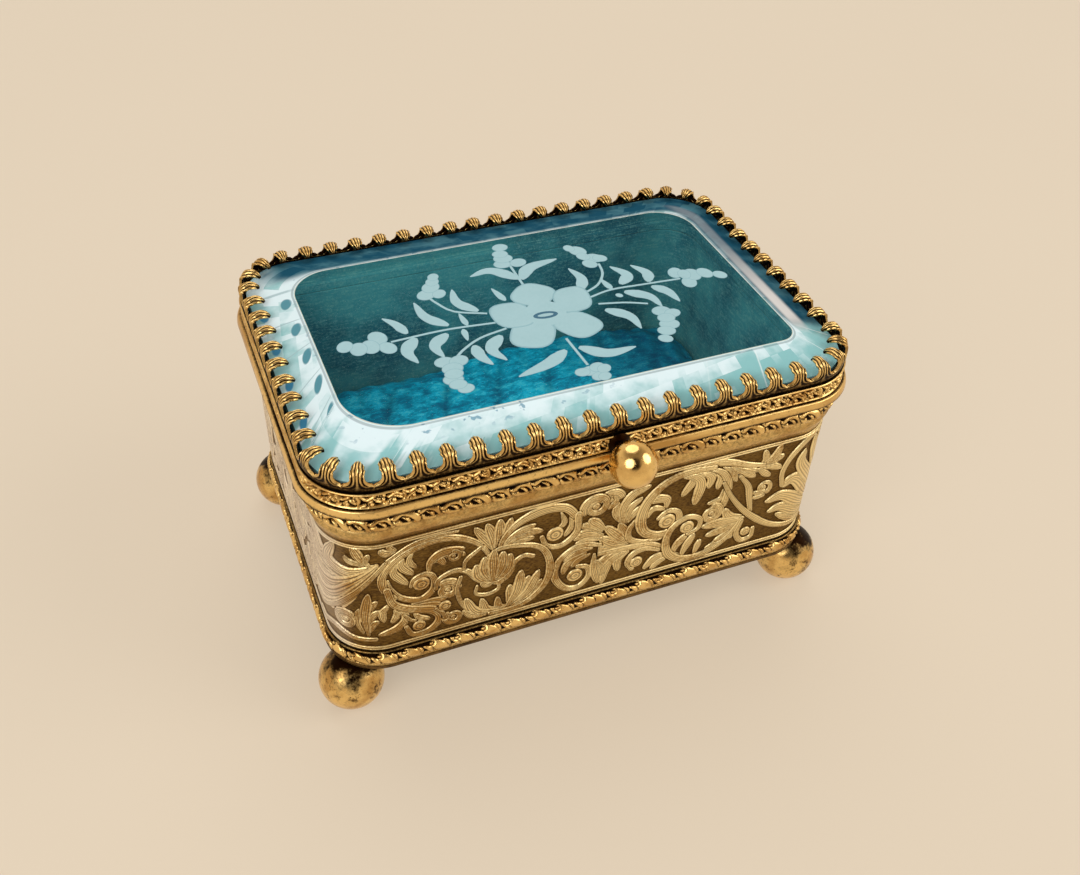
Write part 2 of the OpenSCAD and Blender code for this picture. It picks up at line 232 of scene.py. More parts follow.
class Paint:
    """One material, or the world. Its nodes are added one by one, settings before sockets."""

    def __init__(self, name, kept_in=None):
        self.material = (bpy.data.materials if kept_in is None else kept_in).new(name)
        self.material.use_nodes = True
        self.tree = self.material.node_tree
        self.tree.nodes.clear()

    def node(self, kind, settings=None, sockets=None, output=0):
        """Adds a node, sets it, then gives its sockets values or wires."""
        node = self.tree.nodes.new("ShaderNode" + kind)
        for key, value in (settings or {}).items():
            setattr(node, key, value)
        for key, value in (sockets or {}).items():
            if isinstance(value, Wire):
                self.tree.links.new(value.socket, node.inputs[key])
            else:
                node.inputs[key].default_value = value
        return Wire(self, node.outputs[output]) if node.outputs else None

    def place(self, stretch=(1, 1, 1), turn=(0, 0, 0)):
        """Object coordinates in millimetres, stretched and turned."""
        scale = tuple(1 / MM / s for s in stretch)
        spot = self.node("TexCoord", output="Object")
        return self.node("Mapping", None, {"Vector": spot, "Scale": scale, "Rotation": turn})

    def sideways(self):
        """Place along the casket in millimetres, to the right of its middle."""
        return self.node("SeparateXYZ", None, {0: self.place()}, "X")

    def seen_by(self, *rays):
        """1 for light paths of these kinds, and 0 for others."""
        seen, *others = (self.node("LightPath", output=f"Is {ray} Ray") for ray in rays)
        for other in others:
            seen = seen.maths("MAXIMUM", other)
        return seen

    def attribute(self, name):
        """A value stored at the mesh's points."""
        return self.node("Attribute", {"attribute_name": name}, output="Fac")

    def noise(self, scale, detail=3, roughness=0.55, where=None):
        """Cloudy noise; scale is in turns a millimetre."""
        sockets = {"Vector": where or self.place(), "Scale": scale, "Detail": detail, "Roughness": roughness}
        return self.node("TexNoise", None, sockets)

    def mix(self, first, second, factor):
        """One colour turning into another."""
        first, second = (c if isinstance(c, Wire) else (*c, 1) if len(c) == 3 else c for c in (first, second))
        return self.node("Mix", {"data_type": "RGBA"}, {"Factor": factor, 6: first, 7: second}, 2)

    def bump(self, height, distance, strength=1.0):
        """A normal roughened by a height; distance is in millimetres."""
        return self.node("Bump", None, {"Height": height, "Distance": distance * MM, "Strength": strength})

    def surface(self, **sockets):
        """A Principled shader; underscores stand for spaces."""
        return self.node("BsdfPrincipled", None, {key.replace("_", " "): value for key, value in sockets.items()})

    def cover(self, **sockets):
        """A Principled surface as the material's output."""
        return self.finish(self.surface(**sockets))

    def finish(self, shader):
        """Makes a shader the material's surface."""
        self.node("OutputMaterial", None, {"Surface": shader})
        return self.material


def gilt_brass(name="gilt_brass", gleam=0.27, spots=0.5, worn=0.6, streak=(1, 1, 1), flutes=0, ragged=0.3):
    """Aged gilt: bright on what stands out, dark brown in the hollows and where shade is painted, with tarnish
    spots and fine wear.
    """
    paint = Paint(name)
    shades = finishes()
    relief = paint.attribute("relief")
    if flutes:
        across = abs(paint.attribute("across"))
        ridge = (across * math.pi * flutes).maths("COSINE") * 0.5 + 0.5
        # Flute ridges full and grooves darker, painted shade with patina; a painted shadow darkens both sides of
        # each prong, not its lip
        relief = relief * (0.25 + ridge * 0.75) * (1 - across.between(0.74, 0.9) * relief.between(1, 0.9))
    cloud = paint.noise(0.2, 5, 0.6, paint.place(streak))
    grain = paint.noise(1.9, 4, 0.65)
    shown = (relief + (grain - 0.5) * 0.5 + (cloud - 0.5) * ragged).between(0.26, 0.74)
    patch = (paint.noise(0.42, 6, 0.72) * 0.75 + grain * 0.25).between(0.57 - 0.07 * spots, 0.68 - 0.05 * spots)
    fleck = paint.noise(1.3, 3, 0.7).between(0.64, 0.7)
    mottled = paint.mix(shades.gilt, shades.gilt_worn, cloud.between(0.4, 0.66) * worn)
    patched = paint.mix(mottled, shades.gilt_spot, (patch * spots).maths("MAXIMUM", fleck * spots * 0.9))
    # Dark brown where relief is low: patina in hollows, and the painted shade that feet, knob, flange, prongs and
    # top moulding carry
    metal = paint.mix(shades.gilt_deep, patched, shown)
    rough = gleam + (1 - shown) * 0.25 + patch * spots * 0.2 + (grain - 0.5) * 0.16
    height = grain + cloud * 0.6 + (relief * 4 if flutes else 0)
    return paint.cover(Base_Color=metal, Metallic=1.0, Roughness=rough, Normal=paint.bump(height, 0.05, 0.45))


def frieze_brass():
    """Pale gilt carving with engraved lines on a stippled matt ground, painted shade and patina at its foot,
    highlights on its rims.
    """
    paint = Paint("frieze_brass")
    shades = finishes()
    relief = paint.attribute("relief")
    across = abs(paint.attribute("across"))
    cloud = paint.noise(0.12, 5, 0.6)
    grain = paint.noise(1.7, 5, 0.7)
    stipple = paint.noise(2.6, 3, 0.6, paint.place((2.6, 2.6, 0.7)))
    fray = (grain - 0.5) * 0.5
    edge_line = (abs(across - 0.56) * 6.5 + fray).between(1, 0.1)
    fine_line = (abs(across - 0.16) * 7.5 + fray).between(1, 0.15) * 0.85
    engraved = (edge_line + fine_line) * relief.between(0.55, 0.9)
    # Dark line at the foot of each stroke: painted shade with patina
    foot = (abs(relief - 0.2) * 5 + fray).between(1, 0.3)
    top = (relief + fray * 0.2).between(0.3, 0.6)
    # Painted highlight along the carving's shoulders
    rim = (abs(relief - 0.7) * 5).between(1, 0.3)
    spot_x = paint.sideways()
    rightwards = spot_x.between(-40, 30)
    # The left end, round the front left corner and left side, gets painted light from the left; engraving and foot
    # fade there
    left_end = (spot_x + (cloud - 0.5) * 3).between(-53.5, -58)
    # Browned tops in cloudy patches, fewer towards the right, where the engraved lines are also fainter
    wear = (cloud + (grain - 0.5) * 0.9 - rightwards * 0.16).between(0.34, 0.62)
    rubbed = paint.mix(shades.pale, shades.pale_worn, wear)
    tops_with_painted_light = paint.mix(paint.mix(rubbed, linear(255, 238, 186), rim * 0.5), linear(250, 236, 218), left_end * 0.65)
    tops = paint.mix(tops_with_painted_light, linear(78, 46, 14), engraved * (0.82 - rightwards * 0.3 - left_end * 0.3))
    ground = paint.mix(shades.ground, shades.ground_deep, (stipple * 0.8 + cloud * 0.3).between(0.4, 0.7) * 0.8)
    ground_with_painted_light = paint.mix(ground, linear(196, 174, 146), left_end * 0.35)
    colour_here = paint.mix(paint.mix(ground_with_painted_light, tops, top), shades.ground_deep, foot * (0.85 - left_end * 0.35))
    rough = 0.34 + (1 - top) * 0.24 + (grain - 0.5) * 0.24 + engraved * 0.12
    height = (1 - engraved) * top * 1.4 + stipple * (1 - top) * 1.2 + grain * 0.8
    return paint.cover(
        Base_Color=colour_here, Metallic=0.9 - left_end * 0.4, Roughness=rough,
        Normal=paint.bump(height, 0.08, 0.9))


def aged_brass():
    """Dark unpolished brass."""
    paint = Paint("aged_brass")
    grain = paint.noise(1.4, 5, 0.65)
    cloud = paint.noise(0.1, 3)
    shade = paint.mix(finishes().aged, linear(66, 46, 22), (grain * 0.5 + cloud * 0.5).between(0.36, 0.66))
    return paint.cover(
        Base_Color=shade, Metallic=0.85, Roughness=0.38 + grain * 0.25, Normal=paint.bump(grain, 0.04, 0.5))


def lining_silk(name="lining_silk"):
    """Grey-teal silk with a fine ribbed weave and faint watering."""
    paint = Paint(name)
    slub = paint.noise(0.9, 4, 0.6, paint.place((3, 3, 0.5)))
    cloud = paint.noise(0.055, 4)
    weave = paint.node(
        "TexWave", {"bands_direction": "Z"},
        {"Vector": paint.place(), "Scale": 1.1, "Distortion": 1.2, "Detail": 2})
    speckle = paint.noise(1.6, 3, 0.7)
    deep = paint.mix(finishes().silk, linear(24, 92, 108), cloud.between(0.36, 0.66))
    glint = (slub * 0.4 + weave * 0.1 + speckle * 0.5).between(0.46, 0.68)
    shade = paint.mix(deep, linear(128, 190, 178), glint * 0.6)
    return paint.cover(
        Base_Color=shade, Roughness=0.7 + slub * 0.15, Specular_IOR_Level=0.25, Sheen_Weight=0.15,
        Sheen_Roughness=0.4, Sheen_Tint=(0.3, 0.8, 0.8, 1), Normal=paint.bump(slub + weave * 0.4, 0.12, 0.7))


def cushion_satin():
    """Turquoise satin with painted sheen along its floats, painted shade in its folds and a painted shadow on its
    right.
    """
    paint = Paint("cushion_satin")
    shades = finishes()
    fold = paint.attribute("fold")
    streak = paint.noise(0.6, 5, 0.66, paint.place((2.2, 1.1, 2)))
    thread = paint.noise(2.2, 3, 0.65, paint.place((2, 0.9, 2)))
    cloud = paint.noise(0.11, 4)
    # Painted sheen along the satin's floats
    lit = (streak * 0.8 + thread * 0.4 + cloud * 0.6).between(0.7, 1.04)
    shade = paint.mix(shades.satin_deep, shades.satin, lit)
    # Painted highlights on the sheen
    gleam = (streak + (thread - 0.5) * 0.8 + (cloud - 0.5) * 0.4).between(0.52, 0.72) * 0.8
    bright = paint.mix(shade, linear(84, 222, 236), gleam)
    # Painted shadow over the cushion's right part
    shadow_on_right = (paint.sideways() + (cloud - 0.5) * 30).between(14, 40) * 0.6
    # Painted shade in the folds
    satin_painted_shade = paint.mix(paint.mix(bright, linear(0, 60, 92), fold * 0.75), linear(0, 70, 104), shadow_on_right)
    return paint.cover(
        Base_Color=satin_painted_shade, Roughness=0.42 + streak * 0.2, Specular_IOR_Level=0.2, Sheen_Weight=0.12,
        Sheen_Roughness=0.35, Sheen_Tint=(0, 0.7, 0.9, 1), Normal=paint.bump(streak + thread * 0.4, 0.3, 0.8))


def lining_card():
    """Plain pressed card."""
    paint = Paint("lining_card")
    fleck = paint.noise(1.6, 4, 0.6)
    shade = paint.mix(finishes().card, linear(140, 122, 90), fleck.between(0.45, 0.7))
    return paint.cover(Base_Color=shade, Roughness=0.85, Normal=paint.bump(fleck, 0.06, 0.4))


def bevelled_glass():
    """Clear table, and a bevel painted with light: painted reflection and refraction, and painted shade at back and
    right.
    """
    paint = Paint("bevelled_glass")
    shades = finishes()
    slope, along, back, left, right = (
        paint.attribute(name) for name in ("slope", "along", "back", "left", "right"))
    pitch = 13.2
    step = ((along + slope * 3) / pitch).maths("FRACT") * pitch
    band = (slope * 3.2 + (along / 23).maths("FRACT")).maths("FLOOR")
    block = paint.node("CombineXYZ", None, {0: (along / 5.2 + band * 0.37).maths("FLOOR"), 1: band, 2: 0.5})
    patch = paint.node("TexWhiteNoise", {"noise_dimensions": "2D"}, {"Vector": block}, "Value")
    mist = paint.noise(0.2, 3, 0.55)
    spot_x = paint.sideways()
    rays = paint.noise(1, 2, 0.5, paint.node("CombineXYZ", None, {0: along / 1.5, 1: slope * 0.5, 2: 7.0}))
    corner = paint.attribute("corner")
    rightwards = spot_x.between(14, 44) * (1 - left)
    # Painted light on the facets: paler near the table, in blocks and mist, painted streaks by the front left
    # corner, shade to the right
    light = 0.92 - slope * 0.5 - (1 - left) * slope * 0.25 + (patch - 0.5) * (0.5 + rightwards * 0.15)
    light = light + (mist - 0.5) * 1.0 + (rays - 0.5) * corner * 3.2 - rightwards * 0.2
    facet = paint.mix(shades.bevel_deep, shades.bevel, light.between(0.2, 0.9))
    # Lines across, pale cuts on the right, teal drops and blue spots on the left, blue specks in front: painted
    # refraction and reflection
    line = abs(step - 0.5).between(0.3, 0.08)
    lined = paint.mix(facet, linear(160, 186, 190), line * left * 0.8)
    cut = abs(step - 3.2).between(0.28, 0.08) * rightwards
    lined = paint.mix(lined, linear(232, 240, 238), cut * 0.7)
    long = (step - 9.4) / 2.9
    wide = (slope - 0.25 + (step - 9.4) * 0.02) / (0.08 + step * 0.005)
    drop = (long * long + wide * wide).between(1.1, 0.6) * left
    far = (step - 5.6) / 2.0
    out = (slope - 0.8) / 0.11
    spot = (far * far + out * out).between(1.1, 0.5) * left
    dotted = paint.mix(paint.mix(lined, linear(84, 142, 154), drop), linear(60, 138, 176), spot)
    speck = paint.noise(0.5, 2).between(0.62, 0.68) * (1 - left) * slope.between(0.5, 0.2) * spot_x.between(16, -16)
    specked = paint.mix(dotted, linear(84, 142, 166), speck * 0.75)
    # Painted streak of light along the right bevel, strongest at the front
    streak = abs(slope - 0.34).between(0.26, 0.1) * right
    # Painted shade on the back and right bevel, in dark teal
    shaded = (back + right).between(0, 1)
    painted_bevel_shade = paint.mix(linear(30, 78, 98), linear(70, 116, 128), (mist + (patch - 0.5) * 0.25).between(0.35, 0.75))
    shade = paint.mix(specked, painted_bevel_shade, shaded)
    bright = paint.mix(shade, linear(214, 208, 202), streak * (0.25 + paint.attribute("front") * 0.75))
    # Painted highlight along the table's edge, with a darker line of painted refraction just outside it
    edge = slope.between(0.03, 0.02)
    seam = abs(slope - 0.06).between(0.03, 0.015) * 0.45
    edged = paint.mix(paint.mix(bright, linear(70, 96, 100), seam), linear(206, 214, 200), edge)
    on_bevel = slope.between(0.001, 0.008)
    tint = paint.mix(shades.glass, edged, on_bevel)
    shut = (0.94 + shaded * 0.1 + edge * 0.3).between(0, 1)
    lets_light = 1 - paint.seen_by("Shadow") * 0.92
    clear = (0.01 + on_bevel * shut * 0.99) * lets_light
    polished = paint.surface(Base_Color=tint, Roughness=0.03, Alpha=clear, IOR=1.5, Specular_IOR_Level=0.12)
    dull = paint.surface(Base_Color=tint, Roughness=0.4, Alpha=clear, IOR=1.5, Specular_IOR_Level=0.0)
    return paint.finish(paint.node("MixShader", None, {"Fac": shaded * on_bevel, 1: polished, 2: dull}))


def etched_glass():
    """Frosted, cut glass of the flower spray."""
    paint = Paint("etched_glass")
    frost = paint.noise(1.2, 5, 0.7)
    cloud = paint.noise(0.2, 2)
    patches = (frost * 0.5 + cloud * 0.5).between(0.42, 0.66) * 0.6
    shade = paint.mix(finishes().etching, linear(158, 194, 198), patches)
    rim = paint.attribute("rim").between(0.88, 0.98)
    cut = paint.mix(shade, linear(120, 166, 176), rim * 0.6)
    eye = paint.attribute("eye")
    centre = paint.mix(cut, linear(22, 92, 120), eye)
    lets_light = 1 - paint.seen_by("Shadow") * 0.7
    return paint.cover(
        Base_Color=centre, Roughness=0.55, Alpha=0.86 * lets_light, Normal=paint.bump(frost, 0.02, 0.4))


def ring_place(along, out, nominal):
    """Place of each point round the casket, seen from above.

    along is measured round the ring from the middle of the front to the right, at the nominal distance
    from the corner centres; out is the point's own distance from them.
    """
    arc = math.pi / 2 * nominal
    quarter = CORNER_X + arc + CORNER_Y
    lap = np.mod(along, 4 * quarter)
    part = np.floor(lap / quarter)
    rest = lap - part * quarter
    rest = np.where(part % 2 == 0, rest, quarter - rest)
    turn = np.clip((rest - CORNER_X) / arc, 0, 1) * math.pi / 2
    x = np.minimum(rest, CORNER_X) + out * np.sin(turn)
    y = np.maximum(rest - CORNER_X - arc, 0) - CORNER_Y - out * np.cos(turn)
    x = np.where(part >= 2, -x, x)
    y = np.where((part == 1) | (part == 2), -y, y)
    return x, y + MID_Y


def ring_length(nominal):
    """Length of the ring at a distance from the corner centres."""
    return 4 * (CORNER_X + CORNER_Y) + 2 * math.pi * nominal


# Width of the groove that a stroke of the carving cuts round itself
GROOVE = 0.34


def smooth_line(points, step=0.45):
    """Points along a smooth curve through the given rows; each row is a place and anything that goes with it."""
    rows = np.asarray(points, float)
    if len(rows) == 2:
        pieces = max(2, int(np.hypot(*(rows[1, :2] - rows[0, :2])) / step))
        share = np.linspace(0, 1, pieces + 1)[:, None]
        return rows[0] + (rows[1] - rows[0]) * share
    padded = np.vstack([2 * rows[0] - rows[1], rows, 2 * rows[-1] - rows[-2]])
    line = []
    for k in range(1, len(padded) - 2):
        before, start, end, after = padded[k - 1:k + 3]
        count = max(2, int(np.hypot(*(end[:2] - start[:2])) / step))
        t = np.linspace(0, 1, count, endpoint=False)[:, None]
        line.append(0.5 * (
            2 * start + (end - before) * t + (2 * before - 5 * start + 4 * end - after) * t * t
            + (3 * start - before - 3 * end + after) * t ** 3))
    line.append(rows[-1:])
    return np.vstack(line)


def vine(start, middle, end, *run, groove=GROOVE, depth=1.0):
    """A stem: its half width goes from start over middle to end along the places in run."""
    line = smooth_line(np.reshape(run, (-1, 2)))
    half = np.interp(np.linspace(0, 1, len(line)), [0, 0.5, 1], [start, middle, end])
    return [(line, half, groove, depth)]


def bud(x, y, radius):
    """A round boss."""
    return [(np.array([(x - 0.01, y), (x + 0.01, y)]), np.array([radius, radius]), GROOVE, 1.0)]


def curl(x, y, radius, start, turns, half):
    """A volute round (x, y): it starts at an angle in degrees and winds inwards to a boss."""
    share = np.linspace(0, 1, 2 + int(abs(turns) * 28))
    angle = np.radians(start) + turns * 2 * math.pi * share
    reach = radius * (1 - 0.62 * share)
    line = np.stack([x + reach * np.cos(angle), y + reach * np.sin(angle)], 1)
    return [(line, half * (1.1 - 0.35 * share), GROOVE, 1.0)] + bud(x, y, max(radius * 0.3, 0.45))


def leaf(half, *run):
    """A lobe of a leaf from its root to its rounded tip; it lets the lobes under it show."""
    line = smooth_line(np.reshape(run, (-1, 2)))
    share = np.linspace(0, 1, len(line))
    width = half * np.interp(share, [0, 0.25, 0.62, 0.86, 0.96, 1], [0.35, 0.7, 1, 0.8, 0.5, 0.25])
    return [(line, width, 0.17, 0.62)]


def drawn(drawing):
    """Strokes of a drawing: on each line a leaf, vine, bud or curl, with the numbers that its maker takes."""
    makers = {"leaf": leaf, "vine": vine, "bud": bud, "curl": curl}
    rows = (row.split() for row in drawing.replace("\n    ", " ").split("\n") if row)
    return [stroke for kind, *numbers in rows for stroke in makers[kind](*map(float, numbers))]


def moved(strokes, across):
    """The same strokes moved along the wall."""
    return [(line + np.array([across, 0.0]), *rest) for line, *rest in strokes]


def carve(across, up, strokes, edge=0.3, period=None):
    """Height of carving on a grid, from 0 on the ground to 1 on the tops, and the place across each stroke.

    Each stroke cuts a groove round itself into the ones before it. With a period the strokes repeat.
    """
    height = np.zeros((len(up), len(across)))
    side = np.full_like(height, 2.0)
    if period:
        strokes = [copy for stroke in strokes for shift in (-period, 0, period) for copy in moved([stroke], shift)]
    for line, half, groove, depth in strokes:
        reach = half.max() + groove
        low, high = line.min(0) - reach, line.max(0) + reach
        i0, i1 = np.searchsorted(across, [low[0], high[0]])
        j0, j1 = np.searchsorted(up, [low[1], high[1]])
        if i0 == i1 or j0 == j1:
            continue
        gap = np.full((j1 - j0, i1 - i0), 9.0)
        place = np.zeros_like(gap)
        for start, end, first, last in zip(line[:-1], line[1:], half[:-1], half[1:]):
            span = max(first, last) + groove
            a0, a1 = np.searchsorted(across[i0:i1], [min(start[0], end[0]) - span, max(start[0], end[0]) + span])
            b0, b1 = np.searchsorted(up[j0:j1], [min(start[1], end[1]) - span, max(start[1], end[1]) + span])
            if a0 == a1 or b0 == b1:
                continue
            x = across[i0:i1][a0:a1][None, :] - start[0]
            y = up[j0:j1][b0:b1][:, None] - start[1]
            way = end - start
            t = np.clip((x * way[0] + y * way[1]) / max(way @ way, 1e-9), 0, 1)
            far = np.hypot(x - t * way[0], y - t * way[1])
            width = first + (last - first) * t
            window = (slice(b0, b1), slice(a0, a1))
            nearer = far - width < gap[window]
            gap[window] = np.where(nearer, far - width, gap[window])
            which = np.where(way[0] * y - way[1] * x >= 0, 1.0, -1.0) * far / width
            place[window] = np.where(nearer, which, place[window])
        spot = (slice(j0, j1), slice(i0, i1))
        before = height[spot]
        soft = np.clip(-gap / edge, 0, 1)
        rise = np.sqrt(1 - (1 - soft) ** 2) * (0.86 + 0.14 * (1 - np.clip(place, -1, 1) ** 2))
        cut = 1 - depth * (1 - np.clip(gap / groove, 0, 1) ** 0.8)
        height[spot] = np.where(gap <= 0, np.maximum(rise, (1 - depth) * before), before * cut)
        side[spot] = np.where(gap <= 0, place, side[spot])
    return height, side


# Round vine with a flower, a leaf inside it and an arch over it, left of the middle.
LEFT_SPRAY = """
leaf 1.2 -24 40.5 -25.6 44 -28.4 48.8
leaf 1.3 -24 40.5 -24.6 45 -25.8 49
leaf 1.3 -23.8 41 -23.1 45.5 -23 49.4
leaf 1.2 -23.6 41 -21.6 45 -20.6 49
leaf 0.9 -21 42 -18 41.8 -15.4 41.8
leaf 1.2 -23 41 -20 42.8 -16.5 43.6 -13.6 43
leaf 1 -22 42.5 -19 44.4 -15.2 45.4
leaf 0.8 -9.4 46.8 -8.6 43.8 -10 42.2
leaf 0.9 -7.4 46.4 -6.8 42.4 -8.4 39.6
vine 0.4 1.35 1 -23.2 41.2 -21.8 44.4 -18.4 47.5 -13.4 49 -8.6 48 -5.8 44.6
vine 0.9 0.85 0.6 -5.4 45 -5.6 40 -8.8 37 -12.2 37.8 -13.6 41
bud -10.6 40.9 2
leaf 1.1 -17.5 21.8 -22.6 22.2 -23.4 25.8
leaf 1.3 -19 21.4 -25.4 22.4 -27 26.6
leaf 1.4 -21 21.2 -28 22.8 -30.6 28
leaf 0.9 -25 21.4 -29 22 -31.2 24.4
leaf 1.1 -21 22.6 -20.6 25 -20.5 28.6
leaf 1.2 -19.5 22 -15.8 23.6 -13.2 27.6
leaf 1.3 -20.6 22.3 -17.4 26 -16.2 29.8
leaf 1.3 -20 22.2 -16.2 25.5 -13.9 30.8
leaf 1.4 -21 22.4 -18.8 26.5 -18 32.2
vine 0.5 1 0.6 -25.4 39.6 -23 41 -19 40.5 -15 39 -12.4 36 -11.3 31 -12.4 26 -16 22.2 -20 20.9 -25 21.3
vine 0.85 0.7 0.6 -25.5 31.4 -22.4 31 -20.4 33 -19.7 35.5 -17.6 36.9 -15.4 36
vine 0.4 0.6 0.4 -28 31.2 -28.2 28.9 -25.6 27.8 -23.2 28.7 -23.2 31
leaf 1.4 -24.6 31.6 -27.4 34 -28.2 37.6
leaf 1.4 -24.4 31.6 -21.6 34 -20.6 38.4
leaf 1.4 -24.6 31.6 -26.2 35.4 -26.3 39.4
leaf 1.4 -24.4 31.6 -22.8 35.4 -22.2 39.6
leaf 1.35 -24.5 31.6 -24.5 36 -24.3 40.8
leaf 0.9 -24.5 31 -26 30.8 -27 32
leaf 0.9 -24.5 31 -23 30.6 -22 31.6
"""

# Large open loop at the left of the front, with a volute, hanging leaves and its lower stems.
LEFT_LOOP = """
leaf 1.1 -45 46.5 -45.8 42.5 -44.6 40 -43 37.8
leaf 1.1 -43.8 46.8 -44 43.5 -41.8 40.4
leaf 0.8 -41.4 47.4 -42.4 44.4 -41 42
leaf 1 -38 41.5 -36.5 43 -35 40.8
leaf 1 -37 43.3 -34.5 43.6 -33 41.2
leaf 0.9 -35 44 -32.4 43.2 -30.6 42
leaf 1.2 -38.4 39.2 -38 42.5 -35.5 44.4 -30.8 44
curl -33 42.4 1.5 90 -1.1 0.45
vine 0.6 0.95 0.6 -47.3 40 -46.6 37.4 -44.4 34 -40.5 32.1 -37.6 34.3 -37.6 38 -39.4 39.4 -41.6 38.6 -42.2 36.8
bud -40.1 36.8 1.85
vine 0.8 1.2 0.5 -46 34.4 -48 38 -48 42 -44.8 46.2 -38 48.6 -32 47.4 -27.4 43.8 -24.8 38.6
vine 0.4 0.6 0.3 -47 46 -42 48.8 -37 49.6 -32 49.4
curl -34.4 32.8 2.5 120 -1.3 0.95
vine 0.5 0.75 0.85 -37 34 -36.4 36.6 -33 38 -30 36.6 -28 33.6 -25.4 31.4
vine 0.45 0.6 0.35 -27 43 -30.4 40.2 -30.8 37.6
vine 0.5 0.6 0.5 -31.6 35.4 -32.4 32 -31.8 28 -30.4 24.6
leaf 1 -46.4 33.6 -48.6 31 -48.4 28
leaf 1 -46 32.4 -45.6 29.4 -46.8 27.2
leaf 1.2 -45.4 31.6 -43.8 28 -45.4 25.2 -49.6 24
leaf 1 -43 31 -38.6 30.6 -34.8 30.4
leaf 1.1 -43 30.6 -38 29.4 -34.6 27.4
leaf 0.9 -42 29.4 -41 26.6 -38.6 25.2
vine 0.8 1.25 0.6 -47.4 37.4 -46.2 32.8 -42.6 29.8 -38 27.8 -36.4 24.6 -38.6 21.7 -42.4 21.5 -43.8 24.4
bud -41 23.9 1.5
vine 0.3 0.5 0.4 -44 28.4 -42.8 26.4 -41.8 25.8
curl -33.4 23.6 2 140 1.3 0.75
vine 0.5 0.5 0.5 -37 27.6 -35.8 26 -35.2 24
bud -35.2 28 1.45
"""

# Broad acanthus that turns the front left corner, with the small stems about its foot.
CORNER_SPRAY = """
leaf 2.2 -49 44.6 -56 41 -62 41 -69 44
leaf 2.4 -49 45 -56 42.5 -62 45 -64.6 51
leaf 1.7 -49 45.2 -55 43 -59.6 45 -57.8 50
leaf 2.3 -49 44.8 -55.5 39.5 -61 37 -69 38.6
leaf 2.2 -49 44.6 -54.5 38.5 -60 33.5 -68 32.6
leaf 1.7 -48.8 44.4 -53.5 37.8 -58 32 -64 28.6 -70 27.6
leaf 0.9 -51.4 45.6 -54.6 46.4 -55.2 47.6
leaf 1.3 -50.6 45.6 -52.2 47.6 -53.4 50.6
leaf 0.7 -51 46 -50.8 47.6 -50.4 48.6
leaf 1 -45 48.4 -47 48.2 -48.2 49.4
leaf 0.8 -45 48.6 -46 49.4 -46.4 50.2
vine 0.5 0.85 0.6 -47.4 45.4 -51 40.6 -54.6 36 -59 31 -64 27.6 -69 26
leaf 0.9 -51.4 25 -50.6 27.4 -49.6 28.4
leaf 0.9 -51.4 28 -50.4 30.4 -49.4 31.6
leaf 0.8 -51.4 31 -50.4 33.4 -49.6 34.6
leaf 0.9 -52.8 24.6 -54 28 -53.4 32
leaf 1.2 -51.8 24 -52.2 30 -51.2 36.8
curl -56.6 27.8 2.5 60 1.35 0.85
vine 0.6 0.85 0.5 -50.4 22.6 -55 22.6 -60 24 -64 22.4 -68 21.4
"""

# Round vine and stems in the middle of the front.
MIDDLE_SPRAY = """
leaf 1.2 -1.6 33.4 -5 33.4 -8 31.6
leaf 1.1 -3 32.4 -7 30.6 -8.2 27.6
leaf 0.9 -2 31.6 -4.4 30.8 -6.2 29
leaf 1.5 0.6 36.6 -3 38.4 -6.4 38
leaf 1.1 0.4 38 -2.6 40.6 -5 41
leaf 1 0.4 35.6 -3 36.2 -5.6 36
leaf 1.3 1 38.4 -0.6 40.4 -2.6 42.4
vine 0.6 1 0.65 0.4 33.6 -3 35 -6 34.9 -9.4 31.8 -10 27 -7.4 22.6 -4 21.9 -1.8 24.6 -2.4 27.6 -4.6 28.6
bud -5.2 26 1.9
curl -1.4 46 3.1 200 -1.4 0.95
leaf 1.2 -0.8 31 -0.6 26.4 0.6 21.4
leaf 0.9 -0.4 29 1.4 26 1.2 23.6
"""

# Stems between the middle of the front and the volute.
MIDDLE_RIGHT = """
leaf 1 6.2 38.4 8.2 41 9.6 42.6
leaf 1 6 38.4 6.8 42.6 9.4 45
leaf 1 5 38.8 3.4 42 3.6 45.6
leaf 1.3 5.6 38.2 5 43 7 46.6 11 48
leaf 1.4 8.2 31.2 4 31.2 -1 32.6
leaf 1.5 8 31 4 32.8 0.2 35.8
leaf 1.2 8 32 6.6 35 4.6 38.6
leaf 1.4 8 31.4 5 34.4 1.4 38.8
curl 1.8 46.6 2.6 20 1.2 0.95
vine 0.7 0.85 0.5 9 38.8 7.2 36 7.6 32.8 10.6 30.9 14 30.4 17 30.8
leaf 1.2 8.4 29.8 3.6 29.4 -0.6 27.2
leaf 1.2 7.6 29.2 5.2 27 5.4 23.6
leaf 1.4 7 29.6 3.4 27.6 2 24.4 1.6 20.8
leaf 1.2 18.6 24.4 15 24.4 12.2 21.6
leaf 1 18.6 23.4 16 22.6 14 20.8
vine 0.6 0.95 0.5 -1 30.8 5 30.5 10 29.8 14.5 28.4 18 25 22 22
vine 0.5 0.9 0.8 15.4 26.6 12 28.2 9 27.6 7.8 25.2 9 22.8
bud 10 24.6 1.6
"""

